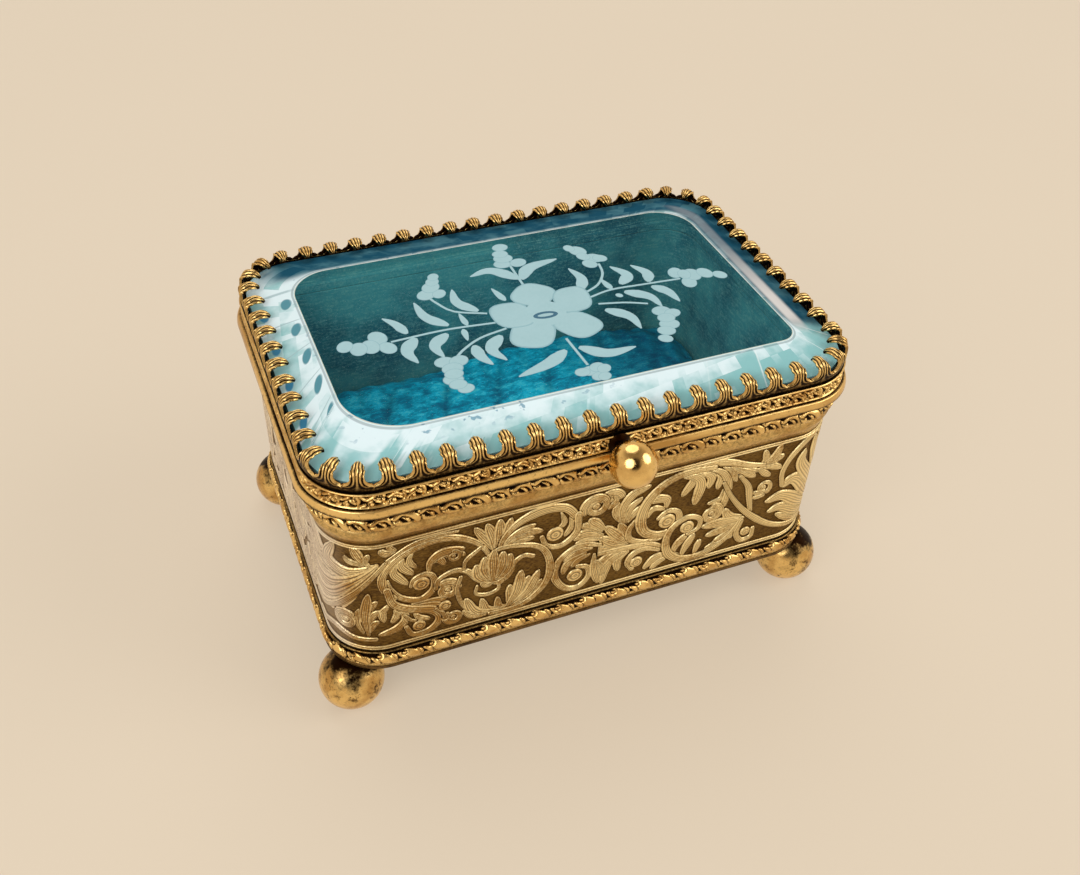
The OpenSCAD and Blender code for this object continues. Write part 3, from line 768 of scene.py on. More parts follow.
# Large volute with an acanthus band over it, right of the middle.
RIGHT_SPIRAL = """
leaf 1.2 19 48 21.6 46.4 19.4 42.2
leaf 1.3 23.6 48.5 28.6 46 28.2 41.6
leaf 1.2 22 48.3 26 46 25.8 42.6
leaf 1.5 20.5 48.2 23.6 45 22.9 38.6
leaf 0.9 10.6 37 12.5 40.5 15.4 39.6
leaf 1.3 10.2 38 11.4 43 15.4 42.6 15.8 40
leaf 0.9 30 41 29.4 38 26.4 37.4
leaf 1 29 47.6 31.4 45.6 32.8 42.4
leaf 1.2 31 47 33.8 45 37.6 42.4
leaf 1.3 31 47.6 36 45.4 40 43.6
leaf 1 38 45.2 39.6 46.8 39 49.6
leaf 1 38 44.4 40.2 42.4 41.6 41.4
leaf 1.1 38.4 44.8 41.6 44.2 44.2 43
leaf 1.1 38.4 45 41.6 45.8 44.2 46.8
leaf 1.2 38.2 45.2 41.6 46.8 43 50
vine 0.5 1.1 0.6 17 49.2 24 50.1 30 48.8 35 46.6 39.4 45.2
vine 0.5 1.1 0.9 24 49 29 46 31 41.4 30.7 36.4 29.2 32.8
vine 0.7 1.45 0.6 26.6 48.4 20.6 49 15 47.6 11.2 43.8 9.8 39 10.6 34.6 13.6 32 17.2 31.9 19.5 34.4 18.9 37.5
    16.2 38.6 14.2 37
bud 16.5 35.4 2.1
curl 27.9 33.9 2.4 75 -1.3 0.9
"""

# Round vine below the volute, with its leaves, and the long stems that cross over it.
RIGHT_CIRCLE = """
leaf 1.2 19 23.4 20 26.6 22.4 29.4
leaf 1.2 21.6 22.2 22.6 25.4 24.2 28.6
leaf 1 25 21.8 25.6 24.2 26 26
leaf 1.1 36.4 28 34.4 24.6 28 22.6
leaf 1.1 36.6 28.6 33 25.6 30 24.2
leaf 1.3 37 29 32 27.6 27.6 26.8
leaf 1.3 37 29.8 33 31.2 31.2 34
leaf 1.5 37 29.5 31.5 30 26.2 30.2
vine 0.7 1.15 0.6 36.6 29.4 33.2 24.2 27.4 21 22 21.2 18.2 24.2 17 29 18.4 33 21.8 34.8 25 33.2 25 30.4
    22.6 29.2
bud 22 31.6 1.8
curl 40.7 37.9 2.2 210 1.2 0.65
vine 0.4 0.6 0.5 37.2 36.2 38.8 35.2 41 35.4
vine 0.5 0.95 0.6 33.8 43.4 36.4 39.6 37.5 35 38.4 31
vine 0.5 0.95 0.6 29.8 42.6 32.6 37.4 36 32.6 40.2 28.2 45 24.6 51 22.6 58 21.6
vine 0.6 0.85 0.6 36.6 28.6 35.8 24.8 37.4 21.9 40 22.4 40.2 25
bud 38.2 24.6 1.35
"""

# Broad acanthus that turns the front right corner.
RIGHT_CORNER = """
leaf 1.5 60 22.6 52 24.4 46 27.6
leaf 1.7 61 23 53 26 47 29.8 43.6 29.2
leaf 1.9 62 23.5 54 28 47 33.4 42.4 32.8
leaf 2.1 62 24 55 31 49 38 45.6 36.6
leaf 2 62 24.6 56 34 50 42 50.2 46
leaf 2.2 63 25 60 34 55 43 53.4 48.4
leaf 1.9 65 26 64 34 60 42 57 48
vine 0.6 1.2 0.6 45.6 37 45 41.6 47 46.4 50.6 49.6 55.4 50.2 60.4 47.4 64 42 66 35 65.4 28 61.4 22.6
"""


# Tip of the spray on the left end, at the upright leaf
LEFT_END = """
curl -71.4 47 2.6 20 -1.3 0.9
vine 0.6 0.9 0.8 -66 45 -68.6 49 -71.6 49.8
leaf 1.2 -66 31 -69.6 36 -70.6 41.6
leaf 1.2 -66.5 30 -71 32 -73.4 35.6
"""


def upright(place):
    """Upright leaf on the middle of a short side, where the two halves of the frieze meet."""
    strokes = []
    for side in (-1, 1):
        for k in range(5):
            root, reach = 21 + 5.4 * k, 5.2 - 0.7 * k
            strokes += leaf(1.5 - 0.12 * k, place, root, place + side * reach * 0.6, root + 2,
                            place + side * reach, root + 5.4)
    return strokes + leaf(1.8, place, 20.6, place, 34, place, 49.6)


def frieze_strokes(left):
    """Carving of one half of the front and the half of a short side that joins it."""
    if left:
        side = moved(drawn(LEFT_SPRAY), -58.8) + drawn(LEFT_END) + upright(-QUARTER)
        front = (MIDDLE_SPRAY, LEFT_LOOP, CORNER_SPRAY, LEFT_SPRAY)
    else:
        side = moved(drawn(RIGHT_SPIRAL), 51) + moved(drawn(RIGHT_CIRCLE), 44.6) + upright(QUARTER)
        front = (RIGHT_CORNER, MIDDLE_RIGHT, RIGHT_SPIRAL, RIGHT_CIRCLE, MIDDLE_SPRAY)
    return side + drawn("".join(front))


def store(mesh, name, values):
    """Keeps a value at each of the mesh's points."""
    kept = mesh.attributes.get(name) or mesh.attributes.new(name, "FLOAT", "POINT")
    kept.data.foreach_set("value", np.asarray(values, np.float32))


def made_mesh(shape, name):
    """A new mesh from a worked shape, which is used up."""
    mesh = bpy.data.meshes.new(name)
    shape.to_mesh(mesh)
    shape.free()
    return mesh


def points_of(mesh):
    """The mesh's points as rows of x, y and z, in metres."""
    spots = np.empty(len(mesh.vertices) * 3)
    mesh.vertices.foreach_get("co", spots)
    return spots.reshape(-1, 3)


def grid_points(name, columns, rows):
    """A new mesh with a flat grid, and where its points lie along and up it, from 0 to 1."""
    shape = bmesh.new()
    bmesh.ops.create_grid(shape, x_segments=columns, y_segments=rows, size=0.5)
    mesh = made_mesh(shape, name)
    spots = points_of(mesh)
    return mesh, spots[:, 0] + 0.5, spots[:, 1] + 0.5


def step_at(share, count):
    """The nearest of so many steps at each share of a grid."""
    return np.rint(share * count).astype(int)


def set_points(mesh, x, y, z):
    """Puts the mesh's points at places in millimetres."""
    mesh.vertices.foreach_set("co", (np.stack([x, y, z], 1) * MM).ravel())


def settle(mesh, merge=0.004, fill=False):
    """Merges what meets, closes open ends and turns every face outwards."""
    shape = bmesh.new()
    shape.from_mesh(mesh)
    bmesh.ops.remove_doubles(shape, verts=shape.verts, dist=merge * MM)
    if fill:
        rim = [edge for edge in shape.edges if edge.is_boundary]
        bmesh.ops.holes_fill(shape, edges=rim, sides=0)
    bmesh.ops.recalc_face_normals(shape, faces=shape.faces)
    shape.to_mesh(mesh)
    shape.free()
    mesh.update()


def placed(name, data):
    """A new object in the scene."""
    obj = bpy.data.objects.new(name, data)
    bpy.context.scene.collection.objects.link(obj)
    return obj


def piece(mesh, body, slot, material, *nodes, smooth=180, levels=0):
    """Puts a finished mesh in the scene as a piece of a body, in place of nodes of the frame."""
    obj = placed(mesh.name, mesh)
    mesh.materials.clear()
    mesh.materials.append(material)
    mesh.polygons.foreach_set("use_smooth", [True] * len(mesh.polygons))
    if smooth < 180:
        mesh.set_sharp_from_angle(angle=math.radians(smooth))
    if levels:
        finer = obj.modifiers.new("finer", "SUBSURF")
        finer.levels = finer.render_levels = levels
    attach(obj, body)
    if nodes:
        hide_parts(*nodes)
    return obj


def section_points(section, share):
    """Distance out and height at shares of the way round a section given as rows of share, out, height."""
    knots = np.asarray(section, float)
    return np.interp(share, knots[:, 0], knots[:, 1]), np.interp(share, knots[:, 0], knots[:, 2])


def ring_mesh(name, section, columns, rows, nominal=CORNER_RADIUS, carving=None, relief=0.0):
    """A section swept round the casket. carving gives a height, and what goes with it, at each place and share."""
    mesh, s, t = grid_points(name, columns, rows)
    out, up = section_points(section, t)
    along = s * ring_length(nominal)
    values = {"relief": np.ones_like(s)}
    if carving:
        slope_out, slope_up = (b - a for a, b in zip(
            section_points(section, np.clip(t - 0.004, 0, 1)), section_points(section, np.clip(t + 0.004, 0, 1))))
        size = np.maximum(np.hypot(slope_out, slope_up), 1e-9)
        height, values = carving(along, out, up, t)
        out = out + height * relief * slope_up / size
        up = up - height * relief * slope_out / size
    x, y = ring_place(along, out, nominal)
    set_points(mesh, x, y, up)
    for key, value in values.items():
        store(mesh, key, value)
    settle(mesh)
    return mesh


# The moulding's block above a level: its height, and which shares of its section are the bead
MOULDING_TALL = 4.2
BEAD_START = 0.08
BEAD_SHARE = 0.8


def bead_section(bottom, low_out, back):
    """Half-round bead above a level, from its plain foot to its plain head, then back down behind it."""
    middle = bottom + 0.2 + BEAD_RADIUS
    plain = CORNER_RADIUS - 0.8
    rows = [(0.0, low_out, bottom), (0.04, plain, bottom), (0.06, plain, bottom + 0.25)]
    for k in range(17):
        turn = math.radians(-78 + 156 * k / 16)
        rows.append((BEAD_START + BEAD_SHARE * k / 16, BEAD_OUT + BEAD_RADIUS * math.cos(turn),
                     middle + BEAD_RADIUS * math.sin(turn)))
    rows += [(0.9, plain, bottom + 4.15), (0.92, plain, bottom + MOULDING_TALL)]
    return rows + back


def tongue_tile():
    """One repeat of the bottom moulding: flame-like tongues that lean to the left, broad and narrow by turns."""
    strokes = vine(0.75, 0.75, 0.75, 0, 0.45, 5.9, 0.6, 11.8, 0.45, groove=0.1, depth=0.3)
    for x, tall, size in ((0.6, 4.6, 1.0), (6.3, 4.2, 0.88)):
        strokes += leaf(0.62 * size, x + 2.1, 1.9, x + 1.8, 3.2, x + 0.9, tall - 0.1)
        strokes += leaf(1.55 * size, x + 2.2, 0.3, x + 0.9, 1.6, x - 0.2, 3.0, x - 1.7, tall)
        strokes += leaf(0.8 * size, x + 4.6, 0.2, x + 4.1, 1.6, x + 3.5, 3.0, x + 2.4, tall - 0.4)
        strokes += bud(x - 1.9, tall - 0.5, 0.5)
    return strokes


def arch_tile():
    """One repeat of the top moulding: thick leaves that arch over a dark eye. Places run from foot to head."""
    strokes = []
    for x, size, droop in ((0.0, 1.0, 0.0), (4.9, 0.88, 0.3), (9.6, 1.04, -0.1)):
        strokes += vine(0.8, 0.75, 0.65, x - 1.9, 3.2, x - 1.3, 1.9, x - 0.2, 1.1, x + 1.5, 0.8)
        strokes += vine(0.75 * size, 0.92 * size, 0.7, x - 2.1, 3.8 - droop, x - 0.7, 4.6 - droop, x + 1.0, 4.3,
                        x + 2.1, 3.1, x + 2.5, 1.7, x + 2.2, 0.8)
        strokes += leaf(0.5, x - 0.5, 3.6, x + 0.4, 3.0, x + 0.9, 2.0)
    return strokes


# Length of one repeat on each moulding, the way over the bead, and the grid that it's carved on
ARCH_REPEAT = 14.44
TONGUE_REPEAT = 11.8
BEAD_SPAN = 5.2
BEAD_COLUMNS = 150
BEAD_ROWS = 59


def bead_carving(strokes, repeat, phase, head):
    """The leafwork of a bead as a function for ring_mesh. head says how bright the plain strip over it is."""
    columns = np.linspace(0, repeat, BEAD_COLUMNS, endpoint=False)
    rows = np.linspace(0, BEAD_SPAN, BEAD_ROWS + 1)
    height, _ = carve(columns, rows, strokes, 0.42, repeat)

    def carving(along, out, up, share):
        i = (np.mod(along + phase, repeat) / repeat * BEAD_COLUMNS).astype(int) % BEAD_COLUMNS
        on_bead = np.clip((share - BEAD_START) / BEAD_SHARE, 0, 1)
        j = np.clip((on_bead * BEAD_ROWS).round().astype(int), 0, BEAD_ROWS)
        shown = (share > BEAD_START) & (share < BEAD_START + BEAD_SHARE)
        cut = np.where(shown, height[j, i] - 1, 0)
        return cut, {"relief": np.where(shown, height[j, i], np.where(np.abs(share - 0.7) < 0.25, head, 0.58))}

    return carving


def bead_ring(node, section, metal, carving):
    """One of the two mouldings, its bead carved with leafwork."""
    mesh = ring_mesh(node + "_carved", section, 1560, 44, carving=carving, relief=sizes().bead_relief / MM)
    piece(mesh, "casket", "gilt_brass", metal, node)


def make_mouldings():
    """Bottom moulding, and the top moulding with the plain cove under it."""
    metal = gilt_brass("moulding_gilt", 0.26, 0.35, 0.7)
    low_back = [(0.94, WALL_OUT, LOWER_TOP), (0.96, WALL_OUT, WALL_LOW), (0.98, WALL_IN, WALL_LOW),
                (0.99, WALL_IN, FRAME_Z), (1.0, WALL_IN + 1, FRAME_Z)]
    bead_ring("bottom_moulding", bead_section(FRAME_Z, WALL_IN + 1, low_back), metal,
              bead_carving(tongue_tile(), TONGUE_REPEAT, 0.0, 0.45))
    high_back = [(0.94, WALL_IN, RIM_Z), (0.96, WALL_IN, WALL_HIGH), (0.98, WALL_OUT, WALL_HIGH),
                 (1.0, WALL_OUT, COVE_Z)]
    upper = RIM_Z - MOULDING_TALL
    cove = [(0.0, WALL_OUT, COVE_Z), (0.01, WALL_OUT + 0.2, COVE_Z), (0.02, WALL_OUT + 0.45, COVE_Z + 1.4),
            (0.035, WALL_OUT + 0.8, COVE_Z + 3), (0.05, WALL_OUT + 1.3, upper - 0.1)]
    section = cove + [row for row in bead_section(upper, WALL_OUT, high_back) if row[0] > 0.05]
    # The plain strip over the top bead is painted dark: the shade under the lid's flange
    bead_ring("top_moulding", section, metal, bead_carving(arch_tile(), ARCH_REPEAT, 5.1, 0.2))


def ridge_height(up):
    """The two pairs of fine ridges, above and below the frieze, as a share of the relief."""
    total = np.zeros_like(up)
    for middle in (LOWER_TOP + 0.5, LOWER_TOP + 1.2, COVE_Z - 0.85, COVE_Z - 0.25):
        total = np.maximum(total, np.clip(1.3 - np.abs(up - middle) / 0.2, 0, 0.8))
    return total


def make_frieze():
    """The carved wall in four quarters; the back repeats the front turned half round."""
    metal = frieze_brass()
    step = sizes().carving_grid / MM
    relief = sizes().relief / MM
    columns = int(QUARTER / step)
    rows = np.arange(LOWER_TOP - 0.3, COVE_Z + 0.3, step)
    ground = WALL_OUT - 0.15
    section = np.array([(ground, up) for up in rows] + [
        (ground, WALL_HIGH), (WALL_OUT - 1, WALL_HIGH), (WALL_IN, WALL_HIGH), (WALL_IN, WALL_LOW),
        (WALL_IN + 1, WALL_LOW), (ground, WALL_LOW), (ground, WALL_LOW), (ground, rows[0])])
    ridges = ridge_height(rows)[:, None]
    names = {(True, 0): "frieze_front_left", (False, 0): "frieze_front_right",
             (True, 1): "frieze_back_right", (False, 1): "frieze_back_left"}
    for left in (True, False):
        places = np.linspace(-QUARTER if left else 0, 0 if left else QUARTER, columns + 1)
        height, side = carve(places, rows, frieze_strokes(left))
        field = ((rows > FRIEZE_LOW - 0.2) & (rows < FRIEZE_HIGH + 0.2))[:, None]
        height = np.maximum(height * field, ridges)
        for back in (0, 1):
            mesh, s, t = grid_points(names[left, back], columns, len(section) - 1)
            row, column = step_at(t, len(section) - 1), step_at(s, columns)
            on_face, carved = row < len(rows), np.minimum(row, len(rows) - 1)
            here = np.where(on_face, height[carved, column], 0)
            along = places[column] + back * 2 * QUARTER
            x, y = ring_place(along, section[row, 0] + here * relief, WALL_OUT)
            set_points(mesh, x, y, section[row, 1])
            store(mesh, "relief", here)
            store(mesh, "across", np.where(on_face, side[carved, column], 2))
            settle(mesh, fill=True)
            piece(mesh, "casket", "frieze_brass", metal, "side_wall")


def turned_mesh(name, profile, place, axis=(0, 0, 1), steps=64, relief=None):
    """A profile of rows of radius and height spun round an axis through a place, all in millimetres."""
    shape = bmesh.new()
    verts = [shape.verts.new((radius, 0, height)) for radius, height in profile]
    for first, second in zip(verts[:-1], verts[1:]):
        shape.edges.new((first, second))
    bmesh.ops.spin(
        shape, geom=shape.verts[:] + shape.edges[:], axis=(0, 0, 1), cent=(0, 0, 0), angle=2 * math.pi, steps=steps,
        use_merge=True)
    bmesh.ops.remove_doubles(shape, verts=shape.verts, dist=0.0005)
    bmesh.ops.recalc_face_normals(shape, faces=shape.faces)
    turn = Vector((0, 0, 1)).rotation_difference(Vector(axis)).to_matrix().to_4x4()
    bmesh.ops.transform(shape, matrix=Matrix.Scale(MM, 4) @ Matrix.Translation(place) @ turn, verts=shape.verts)
    mesh = made_mesh(shape, name)
    shades = [1.0] * len(mesh.vertices) if relief is None else [relief(v.co / MM) for v in mesh.vertices]
    store(mesh, "relief", shades)
    return mesh


def ball_profile(radius, low, high, middle, steps=44):
    """Profile of a ball round a height, cut flat at a low and a high level."""
    start = math.asin(max(-1, (low - middle) / radius))
    end = math.asin(min(1, (high - middle) / radius))
    rows = [(0.0, low)]
    for k in range(steps + 1):
        angle = start + (end - start) * k / steps
        rows.append((radius * math.cos(angle), middle + radius * math.sin(angle)))
    return rows + [(0.0, high)]


# How much of a foot is worn away underneath
FOOT_WEAR = 0.3


def make_feet():
    """Four ball feet, darker towards the top under the plate: painted reflection of its dark underside, with
    patina.
    """
    metal = gilt_brass("foot_gilt", 0.2, 0.9, 0.7, ragged=1.9)
    radius = sizes().foot_radius / MM
    for node in ("foot_front_left", "foot_front_right", "foot_back_left", "foot_back_right"):
        low, high = corners(node)
        place = Vector(((low.x + high.x) / 2, (low.y + high.y) / 2, 0))
        top = high.z

        # Relief falls towards the top of the ball: painted reflection of the dark underside above it, partly patina
        def shade(spot, top=top):
            return min(0.95, max(0.1, (top - spot.z + 0.8) / 6.5))

        profile = ball_profile(radius, 0, top, radius - FOOT_WEAR)
        mesh = turned_mesh(node + "_ball", profile, place, relief=shade)
        piece(mesh, "casket", "gilt_brass", metal, node, smooth=40)


def make_knob():
    """Ball knob on its neck, with the small collar that meets the band."""
    low, high = corners("knob")
    radius = sizes().knob_radius / MM
    middle_z = (low.z + high.z) / 2
    place = Vector(((low.x + high.x) / 2, low.y + radius, middle_z))
    reach = high.y - place.y
    profile = [(0.0, -radius)]
    for k in range(1, 45):
        angle = math.radians(-90 + 166 * k / 44)
        profile.append((radius * math.cos(angle), radius * math.sin(angle)))
    profile += [(1.2, radius * 0.985), (1.2, reach - 1.2), (2.2, reach - 0.75), (2.4, reach - 0.4), (2.3, reach),
                (0.0, reach)]
    front = place.y - radius

    # Relief falls over the back of the ball and along its neck: painted shade between knob and band, partly patina
    def shade(spot):
        return min(1.0, max(0.1, (front + 2 * radius + 0.8 - spot.y) / 1.6))

    mesh = turned_mesh("knob_ball", profile, place, (0, 1, 0), 96, shade)
    piece(mesh, "lid", "gilt_brass", gilt_brass("knob_gilt", 0.12, 0.3, 0.4), "knob", smooth=40)


def filigree_tile():
    """One repeat of the lid's band: two tiers of scrolling strands. Heights run from the band's foot."""
    strokes = []
    for x, flip in ((0.0, 1), (4.2, -1), (8.1, 1)):
        strokes += vine(0.26, 0.38, 0.24, x - 1.9, 0.7, x - 0.6, 1.0, x + 0.5, 1.9, x + 1.8, 1.3, x + 2.3, 0.6,
                        groove=0.2)
        strokes += curl(x + 0.2, 0.95, 0.72, 90 * flip, 1.1 * flip, 0.28)
        strokes += vine(0.24, 0.36, 0.24, x - 2, 3.1, x - 0.8, 2.2, x + 0.6, 2.9, x + 1.6, 2.1, x + 2.4, 2.6,
                        groove=0.2)
        strokes += curl(x + 1.7 * flip, 2.9, 0.55, 200, -1.1 * flip, 0.24)
        strokes += leaf(0.42, x + 2, 0.6, x + 2.4, 1.8, x + 1.9, 3.2)
    return strokes


# Length of one repeat on the lid's band, the grid that it's cut on, and the share of the section that is openwork
FILIGREE_REPEAT = 12.7
FILIGREE_COLUMNS = 90
FILIGREE_ROWS = 27
OPEN_SHARE = 0.86


def filigree_carving():
    """The openwork of the lid's band as a function for ring_mesh."""
    tall = STRIP_Z - BAND_Z
    columns = np.linspace(0, FILIGREE_REPEAT, FILIGREE_COLUMNS, endpoint=False)
    rows = np.linspace(0, tall, FILIGREE_ROWS + 1)
    height, _ = carve(columns, rows, filigree_tile(), 0.2, FILIGREE_REPEAT)
    edging = np.clip(1.5 - np.abs(np.minimum(rows, tall - rows) - 0.22) / 0.2, 0, 1)[:, None]
    height = np.maximum(height, edging)

    def carving(along, out, up, share):
        i = (np.mod(along, FILIGREE_REPEAT) / FILIGREE_REPEAT * FILIGREE_COLUMNS).astype(int) % FILIGREE_COLUMNS
        j = np.clip((share / OPEN_SHARE * FILIGREE_ROWS).round().astype(int), 0, FILIGREE_ROWS)
        shown = share <= OPEN_SHARE
        return np.where(shown, height[j, i] - 1, 0), {"relief": np.where(shown, height[j, i], 0.2)}

    return carving


def make_lid_band():
    """Smooth flange and filigree band round the lid."""
    soft = 0.28
    corner_in = LINING_IN + 0.2
    rows = [(0.0, corner_in, LID_Z), (0.3, FLANGE_OUT - soft, LID_Z), (0.34, FLANGE_OUT - 0.06, LID_Z + 0.1),
            (0.38, FLANGE_OUT, LID_Z + soft), (0.46, FLANGE_OUT - 0.04, LID_Z + 0.8),
            (0.54, FLANGE_OUT - 0.2, LID_Z + 1.3), (0.6, FLANGE_OUT - 0.4, BAND_Z - 0.15),
            (0.64, FLANGE_OUT - 0.65, BAND_Z), (0.9, corner_in, BAND_Z), (1.0, corner_in, LID_Z)]

    # Relief across the flange: painted shade along its lower edge, full on its upper shoulder, darker again at its
    # top
    def shade(along, out, up, share):
        return np.zeros_like(share), {
            "relief": np.interp(share, [0.28, 0.34, 0.4, 0.47, 0.58, 0.66], [0.42, 0.1, 0.5, 0.8, 1, 0.3])}

    mesh = ring_mesh("lid_flange_rolled", rows, 520, 50, carving=shade)
    metal = gilt_brass("flange_gilt", 0.3, 0.5, 0.8, (6, 6, 1), ragged=0.9)
    piece(mesh, "lid", "gilt_brass", metal, "lid_flange", smooth=50)
    inside = BAND_OUT - 1.7
    band = [(0.0, BAND_OUT, BAND_Z), (OPEN_SHARE, BAND_OUT, STRIP_Z), (0.92, inside, STRIP_Z),
            (0.96, inside, BAND_Z), (1.0, BAND_OUT, BAND_Z)]
    mesh = ring_mesh("filigree_openwork", band, 2100, 32, carving=filigree_carving(),
                     relief=sizes().filigree_relief / MM)
    piece(mesh, "lid", "gilt_brass", gilt_brass("filigree_gilt", 0.3, 0.2, 0.7), "filigree_band")


def prong_width(rise, pitch, notch):
    """Half width of a prong at a distance above the bottom of the notches beside it."""
    if rise <= 0:
        return pitch / 2
    if rise < notch:
        return pitch / 2 - math.sqrt(notch ** 2 - (notch - rise) ** 2)
    shank = pitch / 2 - notch
    return float(np.interp(rise, [notch, 2.6, 3.5, 4.3, 5.2, 6.2, 6.9, 7.4, 7.7],
                           [shank, shank + 0.1, shank + 0.42, shank + 0.16, shank + 0.26, shank + 0.06, shank - 0.3,
                            shank - 0.7, shank - 1.0]))


def make_prongs():
    """Fluted prongs that curl in over the glass from a plain strip, with a round notch between each two."""
    count = sizes().prongs
    notch = sizes().notch_radius / MM
    nominal = GALLERY_OUT - 0.5
    pitch = ring_length(nominal) / count
    shift = -1.5
    face = GALLERY_OUT
    notch_z = STRIP_Z + 1.85
    reach = 7.7
    profile = smooth_line([(face - 0.25, STRIP_Z), (face - 0.2, STRIP_Z + 0.5), (face, STRIP_Z + 0.7),
                           (face, notch_z - 0.2), (face + 0.05, notch_z + 1), (face - 0.1, notch_z + 2),
                           (face - 0.75, notch_z + 2.95), (face - 1.8, notch_z + 3.4), (face - 3.0, notch_z + 3.35),
                           (face - 4.0, notch_z + 2.7), (face - 4.55, notch_z + 1.7)], 0.2)
    travel = np.concatenate([[0], np.cumsum(np.hypot(*np.diff(profile, axis=0).T))])
    start = float(np.interp(notch_z, profile[:30, 1], travel[:30]))
    rises = [-start, -start * 0.72, -start * 0.6, -start * 0.42, -0.12]
    rises += [notch * (1 - math.cos(math.radians(12 + 78 * k / 7))) for k in range(8)]
    rises += list(np.linspace(notch + 0.3, reach, 19))
    rises = np.array(rises)
    # Columns each way from a prong's middle: to its edge, to the middle of its lip and to the end of its flutes
    edge, on_edge, fluted_to = 9, 8, 7
    lip = 0.26
    mesh, s, t = grid_points("prong_cell", 2 * edge, len(rises) - 1)
    row, column = step_at(t, len(rises) - 1), step_at(s, 2 * edge) - edge
    rise = rises[row]
    half = np.array([prong_width(r, pitch, notch) for r in rises])[row]
    inner = np.maximum(half - lip, half * 0.5)
    step = np.abs(column)
    side = np.where(step == edge, half, np.where(step == on_edge, (half + inner) / 2, inner * step / fluted_to))
    side = side * np.sign(column)
    fluted = np.clip((rise + 0.5) / 0.6, 0, 1) * np.clip((reach + 0.4 - rise) / 0.9, 0.2, 1)
    flute = 0.5 + 0.5 * np.cos(side / np.maximum(inner, 0.3) * math.pi * 3.5)
    on_lip = np.where(step >= on_edge, 1.0, 0.0) * (rise > -0.15)
    droop = 0.8 * (side / np.maximum(half, 0.3)) ** 2 * np.clip((rise - 2.2) / 1.6, 0, 1)
    lift = 0.16 * fluted * flute * (step < on_edge) + 0.22 * on_lip * np.clip((3.6 - rise) / 1.4, 0, 1) - droop
    spot = np.clip(rise + start, 0, travel[-1])
    out, up = (np.interp(spot, travel, profile[:, k]) for k in (0, 1))
    ahead, behind = np.clip(spot + 0.1, 0, travel[-1]), np.clip(spot - 0.1, 0, travel[-1])
    way_out, way_up = (
        np.interp(ahead, travel, profile[:, k]) - np.interp(behind, travel, profile[:, k]) for k in (0, 1))
    size = np.hypot(way_out, way_up)
    normal_out, normal_up = way_up / size, -way_out / size
    # Relief along a prong: darker on the strip and low shank, full on the head, falling on the curled tip's end as
    # painted shade with patina
    bright = np.clip((rise - 0.4) / 2.0, 0, 1) * np.clip((7.3 - rise) / 0.9, -0.8, 1)
    relief = np.where(rise < -0.2, 0.34, 0.5 + 0.5 * bright)
    relief = np.maximum(relief, on_lip)
    shape = bmesh.new()
    for k in range(count):
        along = (k + 0.5) * pitch + side + shift
        x, y = ring_place(along, out + lift * normal_out, nominal)
        set_points(mesh, x, y, up + lift * normal_up)
        shape.from_mesh(mesh)
    bpy.data.meshes.remove(mesh)
    bmesh.ops.recalc_face_normals(shape, faces=shape.faces)
    mesh = made_mesh(shape, "prongs_fluted")
    store(mesh, "relief", np.tile(relief, count))
    store(mesh, "across", np.tile(np.where(rise < -0.2, 0, column / fluted_to), count))
    settle(mesh)
    obj = piece(mesh, "lid", "gilt_brass", gilt_brass("prong_gilt", 0.24, 0.15, 0.5, flutes=3.5), "prong_gallery")
    wall = obj.modifiers.new("wall", "SOLIDIFY")
    wall.thickness = sizes().prong_thickness
    wall.offset = -1


def outline_spot(share, reach_x, reach_y, *radii):
    """Places round a rectangle whose corners, from the front right one leftwards round, have these radii."""
    part = np.floor(share * 8)
    rest = share * 8 - part
    side = (part % 2 == 0)
    turn = np.where(side, 0, rest) * math.pi / 2
    quarter = np.floor(part / 2).astype(int)
    reach = np.where(quarter % 2 == 0, reach_x, reach_y)
    other = np.where(quarter % 2 == 0, reach_y, reach_x)
    radius = np.array(radii)[quarter]
    before = np.array(radii)[quarter - 1]
    along = (before - reach) + rest * (2 * reach - before - radius)
    u = np.where(side, along, reach - radius + radius * np.sin(turn))
    v = np.where(side, -other, -(other - radius + radius * np.cos(turn)))
    angle = quarter * math.pi / 2
    return u * np.cos(angle) - v * np.sin(angle), u * np.sin(angle) + v * np.cos(angle)


